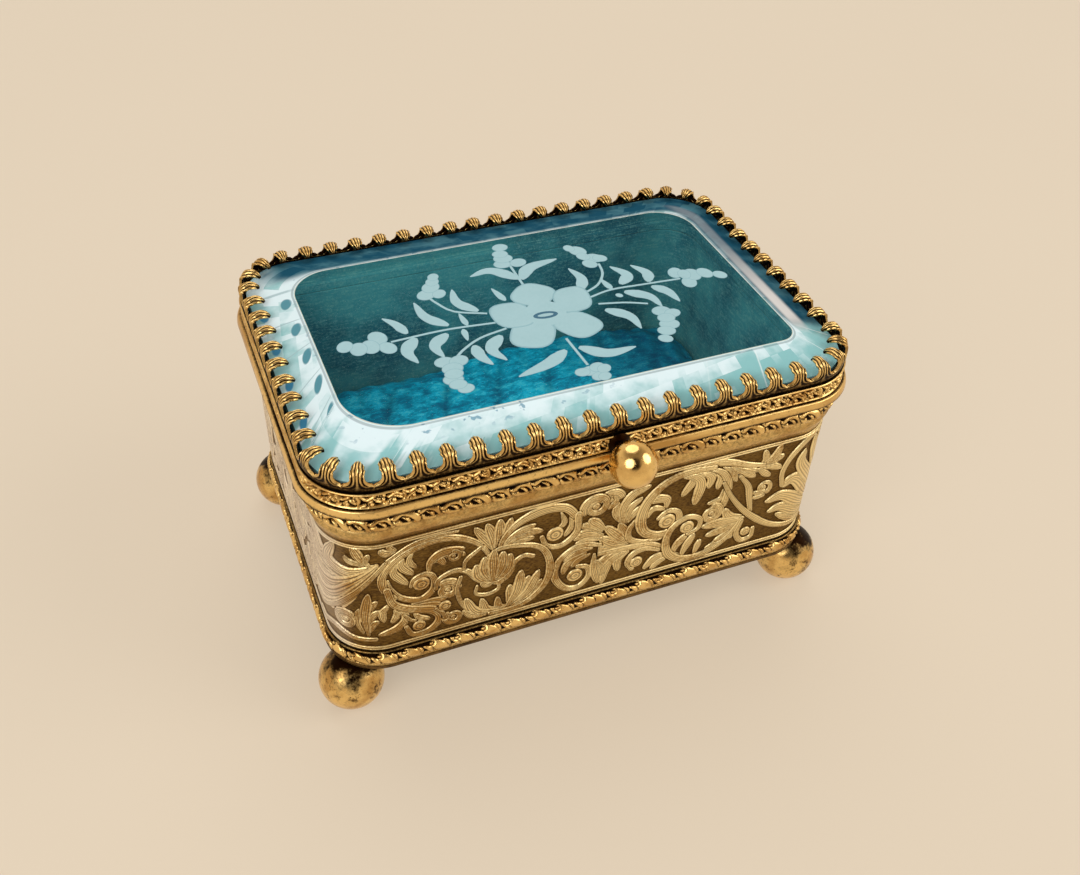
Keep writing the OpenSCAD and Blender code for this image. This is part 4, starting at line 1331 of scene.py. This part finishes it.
def make_glass():
    """Bevelled pane: a flat edge, a wide bevel and a table with rounder corners than its own outline."""
    bevel, edge = 10.2, 1.4
    outer = (CORNER_X + GLASS_OUT, CORNER_Y + GLASS_OUT) + (GLASS_OUT,) * 4
    table = (outer[0] - bevel + 0.7, outer[1] - bevel, 4.0, 9.0, 9.0, 12.5)
    edge_z = GLASS_Z + edge
    loops = [(outer, GLASS_Z, 0.0), (outer, edge_z, 1.0)]
    for k in range(1, 7):
        share = k / 6
        mixed = tuple(a + (b - a) * share for a, b in zip(outer, table))
        loops.append((mixed, edge_z + (TABLE_Z - edge_z) * share, 1 - share))
    count = 256
    mesh, s, t = grid_points("bevelled_pane", count, len(loops) - 1)
    row = step_at(t, len(loops) - 1)
    x, y = np.empty_like(s), np.empty_like(s)
    for k, (reach, _, _) in enumerate(loops):
        here = row == k
        x[here], y[here] = outline_spot(np.mod(s[here], 1), *reach)
    slope = np.array([loop[2] for loop in loops])[row]
    set_points(mesh, x, y + MID_Y, np.array([loop[1] for loop in loops])[row])
    store(mesh, "slope", slope)
    table_x, table_y = table[0], table[1]
    turn_x, turn_y = outline_spot(np.mod(s, 1), *outer)
    run_x, run_y = outer[0] - outer[2], outer[1] - outer[2]
    around = np.arctan2(turn_y - np.clip(turn_y, -run_y, run_y), turn_x - np.clip(turn_x, -run_x, run_x))
    store(mesh, "along", 7 * around + np.where(np.abs(turn_x) > run_x, turn_y, turn_x) + 200)
    # Sides and the front left corner of the bevel, marked for its painted light, reflections and shade
    on_slope = slope > 0
    behind = np.clip((y - table_y + 2) / 4, 0, 1) * np.clip((table_x + 9 - np.abs(x)) / 9, 0, 1)
    store(mesh, "back", behind * on_slope)
    store(mesh, "left", np.clip((-x - table_x + 3) / 3, 0, 1) * np.clip((y + table_y) / 7, 0, 1) * on_slope)
    store(mesh, "right", np.clip((x - table_x + 2) / 3, 0, 1) * np.clip((y + table_y - 2) / 6, 0, 1) * on_slope)
    store(mesh, "front", np.clip((12 - y) / 24, 0, 1))
    store(mesh, "corner", np.clip((-x - table_x + 15) / 8, 0, 1) * np.clip((-y - table_y + 13) / 8, 0, 1))
    settle(mesh, fill=True)
    piece(mesh, "lid", "bevelled_glass", bevelled_glass(), "glass_pane", smooth=12)


def ribbon(shape, line, half, level_z):
    """Adds a flat shape to a bmesh: a line of points with a half width at each."""
    mesh, s, t = grid_points("ribbon", len(line) - 1, 2)
    row = step_at(s, len(line) - 1)
    way = np.gradient(line, axis=0)
    way /= np.maximum(np.hypot(way[:, 0], way[:, 1]), 1e-9)[:, None]
    offset = (t * 2 - 1) * half[row]
    x = line[row, 0] - way[row, 1] * offset
    y = line[row, 1] + way[row, 0] * offset
    set_points(mesh, x, y + MID_Y, np.full_like(x, level_z))
    store(mesh, "rim", np.abs(t * 2 - 1) * 0.96)
    store(mesh, "eye", np.zeros_like(t))
    shape.from_mesh(mesh)
    bpy.data.meshes.remove(mesh)


def disc(shape, x, y, across, deep, turn, level_z, rim=1.0, eye=0.0, wave=0.0):
    """Adds an oval to a bmesh, with a wavy edge if asked, marked by how near its edge each point is."""
    middle = Vector((x * MM, (y + MID_Y) * MM, level_z * MM))
    place = Matrix.Translation(middle) @ Matrix.Rotation(math.radians(turn), 4, "Z")
    size = Matrix.Diagonal((across * MM, deep * MM, 1, 1))
    made = bmesh.ops.create_circle(shape, cap_ends=True, cap_tris=True, segments=28, radius=1, matrix=place @ size)
    near_edge, in_eye = (shape.verts.layers.float[name] for name in ("rim", "eye"))
    for number, vert in enumerate(made["verts"]):
        vert[near_edge] = rim if (vert.co - middle).length > 0.2 * MM else 0
        vert[in_eye] = eye
        vert.co = middle + (vert.co - middle) * (1 + wave * math.sin(number * math.tau * 4 / 28 + x))


def flower_parts():
    """The etched spray: where its stems and leaves run, and the places and sizes of its buds and petals."""
    stems = [
        [(-11, -2.8), (-22, -1.8), (-34, -2.2)], [(-11.5, 1), (-18, 4), (-20.5, 8), (-21.5, 10.5)],
        [(-9.5, -5.5), (-16, -7), (-21, -10), (-23.5, -12.5)], [(12.5, -0.5), (18, 0.7), (26, 0.3), (35, -0.3)],
        [(11, 1), (16, 3.5), (19, 7.5), (19.8, 11.5)], [(13, -3.5), (19, -5), (23.5, -7)], [(0, 9), (0, 18)],
        [(1.2, -13), (1.8, -23)]]
    leaves = [
        ([(-30, -0.5), (-31.4, 3.6), (-33.5, 6.5)], 1.1), ([(-28.8, -2.5), (-31.8, -6.5), (-30.8, -11)], 1.5),
        ([(-17, -1.8), (-17.3, 3)], 0.7), ([(-18.3, -2.8), (-18.7, -7)], 0.7),
        ([(-20.8, -0.5), (-24.5, 4), (-25.3, 10)], 1.3), ([(-13, 2.5), (-16.3, 7), (-15.8, 12.2)], 1.3),
        ([(-6, 4.3), (-7.3, 9.8)], 0.8), ([(-22, -3.2), (-25.8, -6.5), (-25.2, -11)], 1.4),
        ([(-18, -9), (-18, -13), (-16.5, -16.5)], 1.3), ([(-11.5, -7.5), (-15, -11.5), (-13.3, -16)], 1.5),
        ([(18.3, 0.8), (17.5, 5.5)], 0.8), ([(21, 2), (24, 5), (21.7, 9.5)], 1.4),
        ([(27.5, 0.8), (28.7, 4.4), (26.5, 8.5)], 1.3), ([(20.5, -1), (25, -4.5), (26, -9)], 1.4),
        ([(27.3, -1), (29.8, -4), (30.7, -8.5)], 1.3), ([(11.3, 2.5), (13.5, 7), (12.3, 11.8)], 1.3),
        ([(13.5, -6), (17.5, -10), (18, -15)], 1.4), ([(0, 11.5), (-5, 16.6), (-10.2, 15.8)], 1.5),
        ([(0.5, 11), (4, 15), (11.3, 16.5)], 1.5), ([(-0.5, -16.8), (-5.4, -19.8), (-13, -22)], 1.5),
        ([(2.5, -16.8), (7.4, -20.6), (14, -20.5)], 1.5)]
    buds = [
        (-36.3, 0, 1.9), (-35.2, -4, 1.7), (-38.5, -2.5, 1.9), (-41, -2.5, 1.8), (-43.5, -0.8, 1.6),
        (-21.8, 12, 1.8), (-19, 11.5, 1.4), (-20, 14.5, 1.8), (-19, 16.5, 1.4), (-18.2, 18.3, 1.2),
        (-25.7, -12.5, 1.7), (-22.8, -13, 1.7), (-24.8, -15, 1.8), (-25.8, -18.5, 1.7), (-24.3, -22, 1.4),
        (35, 2.2, 1.7), (36.3, -2.3, 1.7), (38.5, 0.3, 1.9), (41.5, 0, 1.7), (44.5, -1.8, 1.4), (19.8, 14, 1.7),
        (17.8, 12, 1.5), (17.3, 18, 1.8), (15.8, 19.7, 1.2), (21, 13.5, 1.4), (25, -10.5, 1.7), (27, -12, 1.5),
        (24.5, -15.5, 1.8), (22.8, -17.5, 1.6), (21.3, -20, 1.3), (-1.5, 18.3, 1.6), (2.2, 17.8, 1.6),
        (-0.5, 20.5, 1.8), (-0.5, 22.5, 1.5), (0.5, 25.2, 1.5), (18.8, -2, 0.7), (1.5, -25, 1.5),
        (2.5, -27.2, 1.3), (-25.4, -20.3, 1.5), (-25.1, -16.8, 1.6), (24.9, -13.2, 1.6), (36.7, 1.0, 1.5),
        (17.6, 15.4, 1.4), (-0.2, -24.9, 1.3), (3.3, -24.3, 1.4), (4.5, -25.2, 1.3), (3.6, -27.6, 1.2)]
    petals = [
        (0.6, 4.4, 5.1, 4.5, 0), (8.2, 0, 5.2, 4.4, 60), (5.6, -9.2, 5.3, 4.7, -35), (-4.9, -9.3, 5.5, 4.9, 30),
        (-6.6, -1.4, 5.2, 4.6, -60)]
    return stems, leaves, buds, petals


def make_flower():
    """The etched spray on the table of the glass, one thin layer, each part a hair above the one before."""
    shape = bmesh.new()
    stems, leaves, buds, petals = flower_parts()
    lift = TABLE_Z + 0.01
    hair = 0.0004
    for points in stems:
        line = smooth_line(points, 1.2)
        ribbon(shape, line, np.full(len(line), 0.3), lift)
        lift += hair
    for points, half in leaves:
        line = smooth_line(points, 0.7)
        share = np.linspace(0, 1, len(line))
        taper = np.interp(share, [0, 0.1, 0.28, 0.6, 0.85, 1], [0.3, 0.75, 1.1, 0.85, 0.5, 0.12])
        ribbon(shape, line, half * taper, lift)
        lift += hair
    for x, y, radius in buds:
        disc(shape, x, y, radius * 1.28, radius * 1.04, x * 7, lift)
        lift += hair
    for x, y, across, deep, turn in petals:
        disc(shape, x, y, across, deep, turn, lift, wave=0.05)
        lift += hair
    disc(shape, 0.6, -3, 4.6, 4.6, 0, lift - hair * 0.5, 0.87)
    disc(shape, 0.3, -3.7, 2.8, 1.3, -4, lift, 0, 1)
    disc(shape, 0.3, -3.7, 1.8, 0.55, -4, lift + hair, 0)
    grown = bmesh.ops.extrude_face_region(shape, geom=shape.faces[:])
    top = [v for v in grown["geom"] if isinstance(v, bmesh.types.BMVert)]
    bmesh.ops.translate(shape, verts=top, vec=(0, 0, sizes().etching))
    bmesh.ops.recalc_face_normals(shape, faces=shape.faces)
    piece(made_mesh(shape, "etched_flower"), "lid", "bevelled_glass", etched_glass(), smooth=30)


def make_lining():
    """Silk over card inside the walls, with a soft roll at its top, and inside the lid, faintly puckered."""
    low, high = level("wall_lining"), level("wall_lining", True)
    over = level("seating_rim", True) + 0.02
    behind = WALL_IN - 0.05
    rows = [(0.0, behind, low), (0.05, LINING_IN + 0.1, low), (0.1, LINING_IN, low + 0.4),
            (0.5, LINING_IN, (low + high) / 2), (0.7, LINING_IN - 0.05, high - 1), (0.74, LINING_IN - 0.12, high),
            (0.82, LINING_IN - 0.12, over - 0.05), (0.84, LINING_IN - 0.06, over),
            (0.86, LINING_IN - 0.02, over - 0.05), (0.93, LINING_IN - 0.02, high - 0.02),
            (0.96, behind, high - 0.02), (1.0, behind, low)]

    def puckers(along, out, up, share):
        wave = np.sin(along * 0.55 + 1.3 * np.sin(along * 0.17)) * np.sin(up * 0.23 + along * 0.05)
        return np.where((share > 0.1) & (share < 0.55), wave, 0), {"relief": np.ones_like(share)}

    mesh = ring_mesh("silk_lining", rows, 420, 64, LINING_IN, puckers, 0.07)
    piece(mesh, "casket", "lining_silk", lining_silk(), "wall_lining")
    base, top = level("glass_ledge") + 0.04, level("glass_ledge", True) - 0.04
    foot = LID_Z + 0.01
    rows = [(0.0, 8.58, foot), (0.06, 8.32, foot), (0.3, 8.34, base + 0.1), (0.4, 8.75, base + 0.4),
            (0.5, 9.4, base + 0.6), (0.56, 9.5, base + 0.9), (0.68, 9.5, top - 0.4), (0.74, 9.75, top),
            (0.84, 11.5, top), (0.9, 11.5, base), (0.96, 8.58, base), (1.0, 8.58, foot)]
    mesh = ring_mesh("lid_lining", rows, 420, 48, LINING_IN, puckers, 0.04)
    piece(mesh, "lid", "lining_silk", lining_silk("lid_silk"), "glass_ledge")


# Height of the cushion's widest line over its underside
CUSHION_EDGE = 12.6

# The cushion's cloth is worked out at ten times its size: its mesh and the furthest that a point moves, in metres
SIM_SCALE = 10.0
SIM_MESH = 0.0135
SIM_REACH = 0.022


def cushion_outline(turn, share, reach_x, reach_y):
    """Outline of the cushion from above: a squared oval, drawn in between its corners."""
    power = 7
    reach = 1 / (np.abs(np.cos(turn)) ** power + np.abs(np.sin(turn)) ** power) ** (1 / power)
    draw = 1 - 0.045 * np.cos(2 * turn) ** 2
    return reach_x * np.cos(turn) * reach * draw * share, reach_y * np.sin(turn) * reach * draw * share


def make_cushion():
    """Stuffed satin cushion: a gathered shell blown up as cloth, then finished with one subdivision."""
    low, high = corners("base_cushion")
    reach_x, reach_y = (high.x - low.x) / 2 - 0.6, (high.y - low.y) / 2 - 0.6
    floor_z, top_z = low.z, high.z
    edge_z = floor_z + CUSHION_EDGE
    mesh, s, t = grid_points("satin_cushion", 240, 44)
    turn = s * 2 * math.pi
    part = t * 2 - 1
    share = np.clip(1 - np.abs(part) ** 1.2, 0, 1)
    share = np.sin(share * math.pi / 2) ** 0.8
    x, y = cushion_outline(turn, share, reach_x, reach_y)
    gather = np.cos(30 * turn + 0.9 * np.sin(3 * turn)) * share ** 5
    crown = (1 - share ** 12) * (top_z - edge_z + 0.2)
    above, below = crown + 0.9 * gather * (1 - share), (1 - share ** 6) * (edge_z - floor_z)
    z = np.where(part >= 0, edge_z + above, edge_z - below)
    set_points(mesh, x, y + MID_Y, z)
    settle(mesh, 0.05, fill=True)
    mesh = blown_up(mesh, edge_z)
    finish_satin(mesh, edge_z)
    obj = piece(mesh, "casket", "cushion_satin", cushion_satin(), "base_cushion", levels=1)


def blown_up(mesh, edge_z):
    """Runs the shell as cloth under pressure, at ten times its size, and returns the settled mesh."""
    big = mesh.copy()
    big.name = "satin_cushion_cloth"
    middle = Vector((0, MID_Y, edge_z)) * MM
    big.transform(Matrix.Scale(SIM_SCALE, 4) @ Matrix.Translation(-middle))
    obj = placed("cushion_cloth", big)
    remesh = obj.modifiers.new("remesh", "REMESH")
    remesh.mode = "VOXEL"
    remesh.voxel_size = SIM_MESH
    graph = bpy.context.evaluated_depsgraph_get()
    solid = bpy.data.meshes.new_from_object(obj.evaluated_get(graph))
    obj.modifiers.clear()
    obj.data = solid
    scene = bpy.context.scene
    frames = 20
    cloth = obj.modifiers.new("cloth", "CLOTH")
    cloth.settings.use_pressure = True
    cloth.settings.uniform_pressure_force = 3.0
    cloth.settings.quality = 4
    cloth.settings.mass = 0.3
    cloth.settings.tension_stiffness = 18
    cloth.settings.compression_stiffness = 6
    cloth.settings.shear_stiffness = 6
    cloth.settings.bending_stiffness = 0.4
    cloth.settings.effector_weights.gravity = 0
    cloth.collision_settings.use_collision = False
    rest = points_of(solid)
    for step in range(1, frames + 1):
        scene.frame_set(step)
    graph = bpy.context.evaluated_depsgraph_get()
    settled = bpy.data.meshes.new_from_object(obj.evaluated_get(graph))
    scene.frame_set(1)
    shift = points_of(settled) - rest
    shift *= np.minimum(1, SIM_REACH / np.maximum(np.linalg.norm(shift, axis=1), 1e-9))[:, None]
    bpy.data.objects.remove(obj)
    spots = (rest + shift) / SIM_SCALE + np.array(middle)
    settled.vertices.foreach_set("co", spots.ravel())
    settled.name = "satin_cushion"
    return settled


def finish_satin(mesh, edge_z):
    """Keeps the cushion inside its space, adds its gathered folds and marks them for painted shade."""
    low, high = corners("base_cushion")
    x, y, z = (points_of(mesh) / MM).T
    y = y - MID_Y
    half_x, half_y = CORNER_X + LINING_IN - 0.4, CORNER_Y + LINING_IN - 0.4
    x = np.clip(x * half_x / np.abs(x).max() * 1.01, -half_x, half_x)
    y = np.clip(y * half_y / np.abs(y).max() * 1.02, -half_y, half_y)
    z = np.clip(z, low.z, high.z + 0.6)
    margin = np.minimum(half_x - np.abs(x), half_y - np.abs(y))
    crest = np.interp(x, [-52, -36, -16, 4, 24, 36, 50], [31.4, 31.6, 31.8, 35, 35, 33.8, 31.4])
    stuffed = crest - 4.5 * (1 - np.clip(margin / 3, 0, 1)) ** 2
    z = z + np.clip((z - edge_z) / 1.2, 0, 1) * np.maximum(stuffed - z, 0)
    inward = np.clip(1 - np.maximum(np.abs(x) / half_x, np.abs(y) / half_y), 0, 1)
    top = np.clip((z - edge_z) / 2.5, 0, 1)
    pleat = np.cos(x * 1.15 + 1.2 * np.sin(y * 0.14) + 0.6 * np.sin(x * 0.31)) * np.exp(-(inward / 0.34) ** 2)
    pleat += 0.8 * np.cos(y * 1.2 + np.sin(x * 0.12)) * np.exp(-((half_x - np.abs(x)) / 9) ** 2)
    crease = np.abs(np.sin(x * 0.21 + 0.9 * np.sin(y * 0.11 + 0.6) + 0.3 * np.sin(x * 0.07)))
    valley = np.exp(-(crease / 0.2) ** 2) * np.clip(inward * 3, 0, 1)
    z = z + top * (0.42 * pleat - 0.9 * valley)
    z = np.minimum(z, high.z + 1.4)
    set_points(mesh, x, y + MID_Y, z)
    # Marks the folds for painted shade in the satin
    store(mesh, "fold", np.clip(valley * 0.8 + np.clip(-pleat, 0, 1) * 0.5, 0, 1) * top)
    mesh.update()


def dressed_copy(node, body, slot, material, soften=0.12):
    """A copy of a plain node with its triangles merged and its edges eased."""
    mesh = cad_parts[node].data.copy()
    mesh.name = node + "_eased"
    shape = bmesh.new()
    shape.from_mesh(mesh)
    bmesh.ops.remove_doubles(shape, verts=shape.verts, dist=0.001 * MM)
    bmesh.ops.dissolve_limit(
        shape, angle_limit=math.radians(1), verts=shape.verts, edges=shape.edges, use_dissolve_boundaries=False)
    paired = (edge for edge in shape.edges if len(edge.link_faces) == 2)
    sharp = [edge for edge in paired if edge.calc_face_angle() > math.radians(50)]
    bmesh.ops.bevel(shape, geom=sharp, affect="EDGES", offset=soften * MM, segments=2, profile=0.5, material=-1,
                    clamp_overlap=True)
    bmesh.ops.triangulate(shape, faces=[face for face in shape.faces if len(face.verts) > 4])
    shape.to_mesh(mesh)
    shape.free()
    piece(mesh, body, slot, material, node, smooth=35)


def make_fittings():
    """Plate, seat, card, studs, hinge and screw: the frame's own pieces, finished."""
    dark = aged_brass()
    card = lining_card()
    for node, body in (("base_plate", "casket"), ("foot_studs", "casket"), ("hinge_leaf_body", "casket"),
                       ("hinge_pin", "casket"), ("hinge_leaf_lid", "lid"), ("knob_screw", "lid")):
        dressed_copy(node, body, "aged_brass", dark)
    finish_node("seating_rim", dark)
    finish_node("base_card", card)


def finish_node(node, material):
    """Gives a node that stays its finish."""
    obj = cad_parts[node]
    obj.data.materials.clear()
    obj.data.materials.append(material)
    for slot in obj.material_slots:
        slot.material = material


def soft_light(name, power, size, place, target):
    """A large round light that faces a target; places are in metres."""
    lamp = bpy.data.lights.new(name, "AREA")
    lamp.shape = "DISK"
    lamp.size = size
    lamp.energy = power
    obj = placed(name, lamp)
    obj.location = place
    obj.rotation_euler = (Vector(target) - Vector(place)).to_track_quat("-Z", "Y").to_euler()


# What sees the floor and the surroundings as pale: the camera, and metal and glass
PALE_RAYS = ("Camera", "Glossy", "Transmission")


def make_floor():
    """Pale floor, large enough to fill the view."""
    paint = Paint("pale_floor")
    cloud = paint.noise(0.004, 2)
    shade = paint.mix(finishes().backdrop, linear(224, 206, 181), cloud * 0.5)
    lit = paint.node("BsdfDiffuse", None, {"Color": shade})
    plain = paint.node("Emission", None, {"Color": shade})
    seen = paint.seen_by(*PALE_RAYS) * 0.55
    material = paint.finish(paint.node("MixShader", None, {"Fac": seen, 1: lit, 2: plain}))
    shape = bmesh.new()
    bmesh.ops.create_grid(shape, x_segments=2, y_segments=2, size=8)
    mesh = made_mesh(shape, "floor")
    mesh.materials.append(material)
    placed("floor", mesh)


def make_world():
    """Soft surroundings. Metal sees them pale, dimmer overhead, with one dark card above the front."""
    paint = Paint("surroundings", bpy.data.worlds)
    bpy.context.scene.world = paint.material
    way = paint.node("TexCoord", output="Generated")
    upward = paint.node("SeparateXYZ", None, {0: way}, "Z")
    card = paint.node("VectorMath", {"operation": "DOT_PRODUCT"}, {0: way, 1: (-0.305, -0.688, 0.658)}, "Value")
    pale = paint.mix(finishes().backdrop, linear(150, 136, 116), upward.between(0.45, 0.95))
    sweep = paint.mix(pale, linear(46, 36, 26), card.between(0.8, 0.94))
    sky = bpy.context.scene.casket_stage.sky
    light = paint.node("Background", None, {"Color": (1, 0.98, 0.95, 1), "Strength": sky})
    shown = paint.node("Background", None, {"Color": sweep})
    both = paint.node("MixShader", None, {"Fac": paint.seen_by(*PALE_RAYS), 1: light, 2: shown})
    paint.node("OutputWorld", None, {"Surface": both})


def make_camera():
    """The camera at the photograph's viewpoint, fitted to the casket's own edges."""
    azimuth, elevation, roll = (math.radians(a) for a in (-23.93, 41.17, 2.867))
    level_part = math.cos(elevation)
    back = Vector((math.sin(azimuth) * level_part, -math.cos(azimuth) * level_part, math.sin(elevation)))
    right = (-back).cross(Vector((0, 0, 1))).normalized()
    up = right.cross(-back)
    turned_right = right * math.cos(roll) + up * math.sin(roll)
    turned_up = up * math.cos(roll) - right * math.sin(roll)
    lens = bpy.data.cameras.new("camera")
    lens.sensor_fit = "HORIZONTAL"
    lens.sensor_width = 36
    lens.lens = 36 * 1124.2 / 1080
    lens.clip_start = 0.01
    lens.clip_end = 50
    obj = placed("camera", lens)
    turn = Matrix((turned_right, turned_up, back)).transposed().to_4x4()
    obj.matrix_world = Matrix.Translation(Vector((-81.306, -187.884 + MID_Y, 211.838)) * MM) @ turn
    bpy.context.scene.camera = obj


def make_stage():
    """Camera, floor, surroundings and lamps."""
    stage = bpy.context.scene.casket_stage
    make_camera()
    make_floor()
    make_world()
    soft_light("left_light", stage.left, 1.2, (-1.0, -0.8, 1.1), (0, 0, 0.03))
    soft_light("right_light", stage.right, 1.1, (1.15, -0.6, 0.95), (0, 0, 0.03))
    soft_light("light_above", stage.above, 1.3, (0.1, 0.75, 1.35), (0, 0, 0.03))
    bpy.context.scene.view_settings.view_transform = "Standard"


class CASKET_OT_frieze(bpy.types.Operator):
    """Carves the wall in four quarters"""

    bl_idname = "casket.frieze"
    bl_label = "Frieze"

    def execute(self, context):
        make_frieze()
        return {"FINISHED"}


class CASKET_OT_mouldings(bpy.types.Operator):
    """Adds the leafy beads above and below the frieze"""

    bl_idname = "casket.mouldings"
    bl_label = "Mouldings"

    def execute(self, context):
        make_mouldings()
        return {"FINISHED"}


class CASKET_OT_feet(bpy.types.Operator):
    """Turns the four ball feet"""

    bl_idname = "casket.feet"
    bl_label = "Feet"

    def execute(self, context):
        make_feet()
        return {"FINISHED"}


class CASKET_OT_lining(bpy.types.Operator):
    """Hangs the silk inside the walls and the lid"""

    bl_idname = "casket.lining"
    bl_label = "Lining"

    def execute(self, context):
        make_lining()
        return {"FINISHED"}


class CASKET_OT_cushion(bpy.types.Operator):
    """Stuffs the satin cushion"""

    bl_idname = "casket.cushion"
    bl_label = "Cushion"

    def execute(self, context):
        make_cushion()
        return {"FINISHED"}


class CASKET_OT_lid_band(bpy.types.Operator):
    """Adds the lid's smooth flange and its filigree"""

    bl_idname = "casket.lid_band"
    bl_label = "Lid band"

    def execute(self, context):
        make_lid_band()
        return {"FINISHED"}


class CASKET_OT_prongs(bpy.types.Operator):
    """Curls the prongs over the glass"""

    bl_idname = "casket.prongs"
    bl_label = "Prongs"

    def execute(self, context):
        make_prongs()
        return {"FINISHED"}


class CASKET_OT_glass(bpy.types.Operator):
    """Cuts the bevelled pane"""

    bl_idname = "casket.glass"
    bl_label = "Glass"

    def execute(self, context):
        make_glass()
        return {"FINISHED"}


class CASKET_OT_flower(bpy.types.Operator):
    """Etches the flower spray on the glass"""

    bl_idname = "casket.flower"
    bl_label = "Etched flower"

    def execute(self, context):
        make_flower()
        return {"FINISHED"}


class CASKET_OT_knob(bpy.types.Operator):
    """Turns the ball knob"""

    bl_idname = "casket.knob"
    bl_label = "Knob"

    def execute(self, context):
        make_knob()
        return {"FINISHED"}


class CASKET_OT_fittings(bpy.types.Operator):
    """Finishes the plate, seat, card, studs, hinge and screw"""

    bl_idname = "casket.fittings"
    bl_label = "Fittings"

    def execute(self, context):
        make_fittings()
        return {"FINISHED"}


class CASKET_OT_stage(bpy.types.Operator):
    """Sets up the camera, floor, surroundings and lamps"""

    bl_idname = "casket.stage"
    bl_label = "Stage"

    def execute(self, context):
        make_stage()
        return {"FINISHED"}


BUILDERS = (
    CASKET_OT_frieze, CASKET_OT_mouldings, CASKET_OT_feet, CASKET_OT_lining, CASKET_OT_cushion,
    CASKET_OT_lid_band, CASKET_OT_prongs, CASKET_OT_glass, CASKET_OT_flower, CASKET_OT_knob,
    CASKET_OT_fittings, CASKET_OT_stage)


class CASKET_PT_panel(bpy.types.Panel):
    """Sizes, colours and pieces of the casket"""

    bl_idname = "CASKET_PT_panel"
    bl_label = "Jewel casket"
    bl_space_type = "VIEW_3D"
    bl_region_type = "UI"
    bl_category = "Casket"

    def draw(self, context):
        for group in (context.scene.casket_sizes, context.scene.casket_finishes, context.scene.casket_stage):
            box = self.layout.box()
            for key in group.__annotations__:
                box.prop(group, key)
        for builder in BUILDERS:
            self.layout.operator(builder.bl_idname)


SETTINGS = {"casket_sizes": CasketSizes, "casket_finishes": CasketFinishes, "casket_stage": CasketStage}


def register():
    """Registers the settings, the operators and the panel."""
    for name, group in SETTINGS.items():
        bpy.utils.register_class(group)
        setattr(bpy.types.Scene, name, bpy.props.PointerProperty(type=group))
    for kind in (*BUILDERS, CASKET_PT_panel):
        bpy.utils.register_class(kind)


def unregister():
    """Takes it all away again."""
    for kind in (CASKET_PT_panel, *reversed(BUILDERS)):
        bpy.utils.unregister_class(kind)
    for name, group in SETTINGS.items():
        delattr(bpy.types.Scene, name)
        bpy.utils.unregister_class(group)


def main():
    """Builds every piece and the stage."""
    register()
    for builder in BUILDERS:
        getattr(bpy.ops.casket, builder.bl_idname.split(".")[1])()


if __name__ == "__main__":
    main()
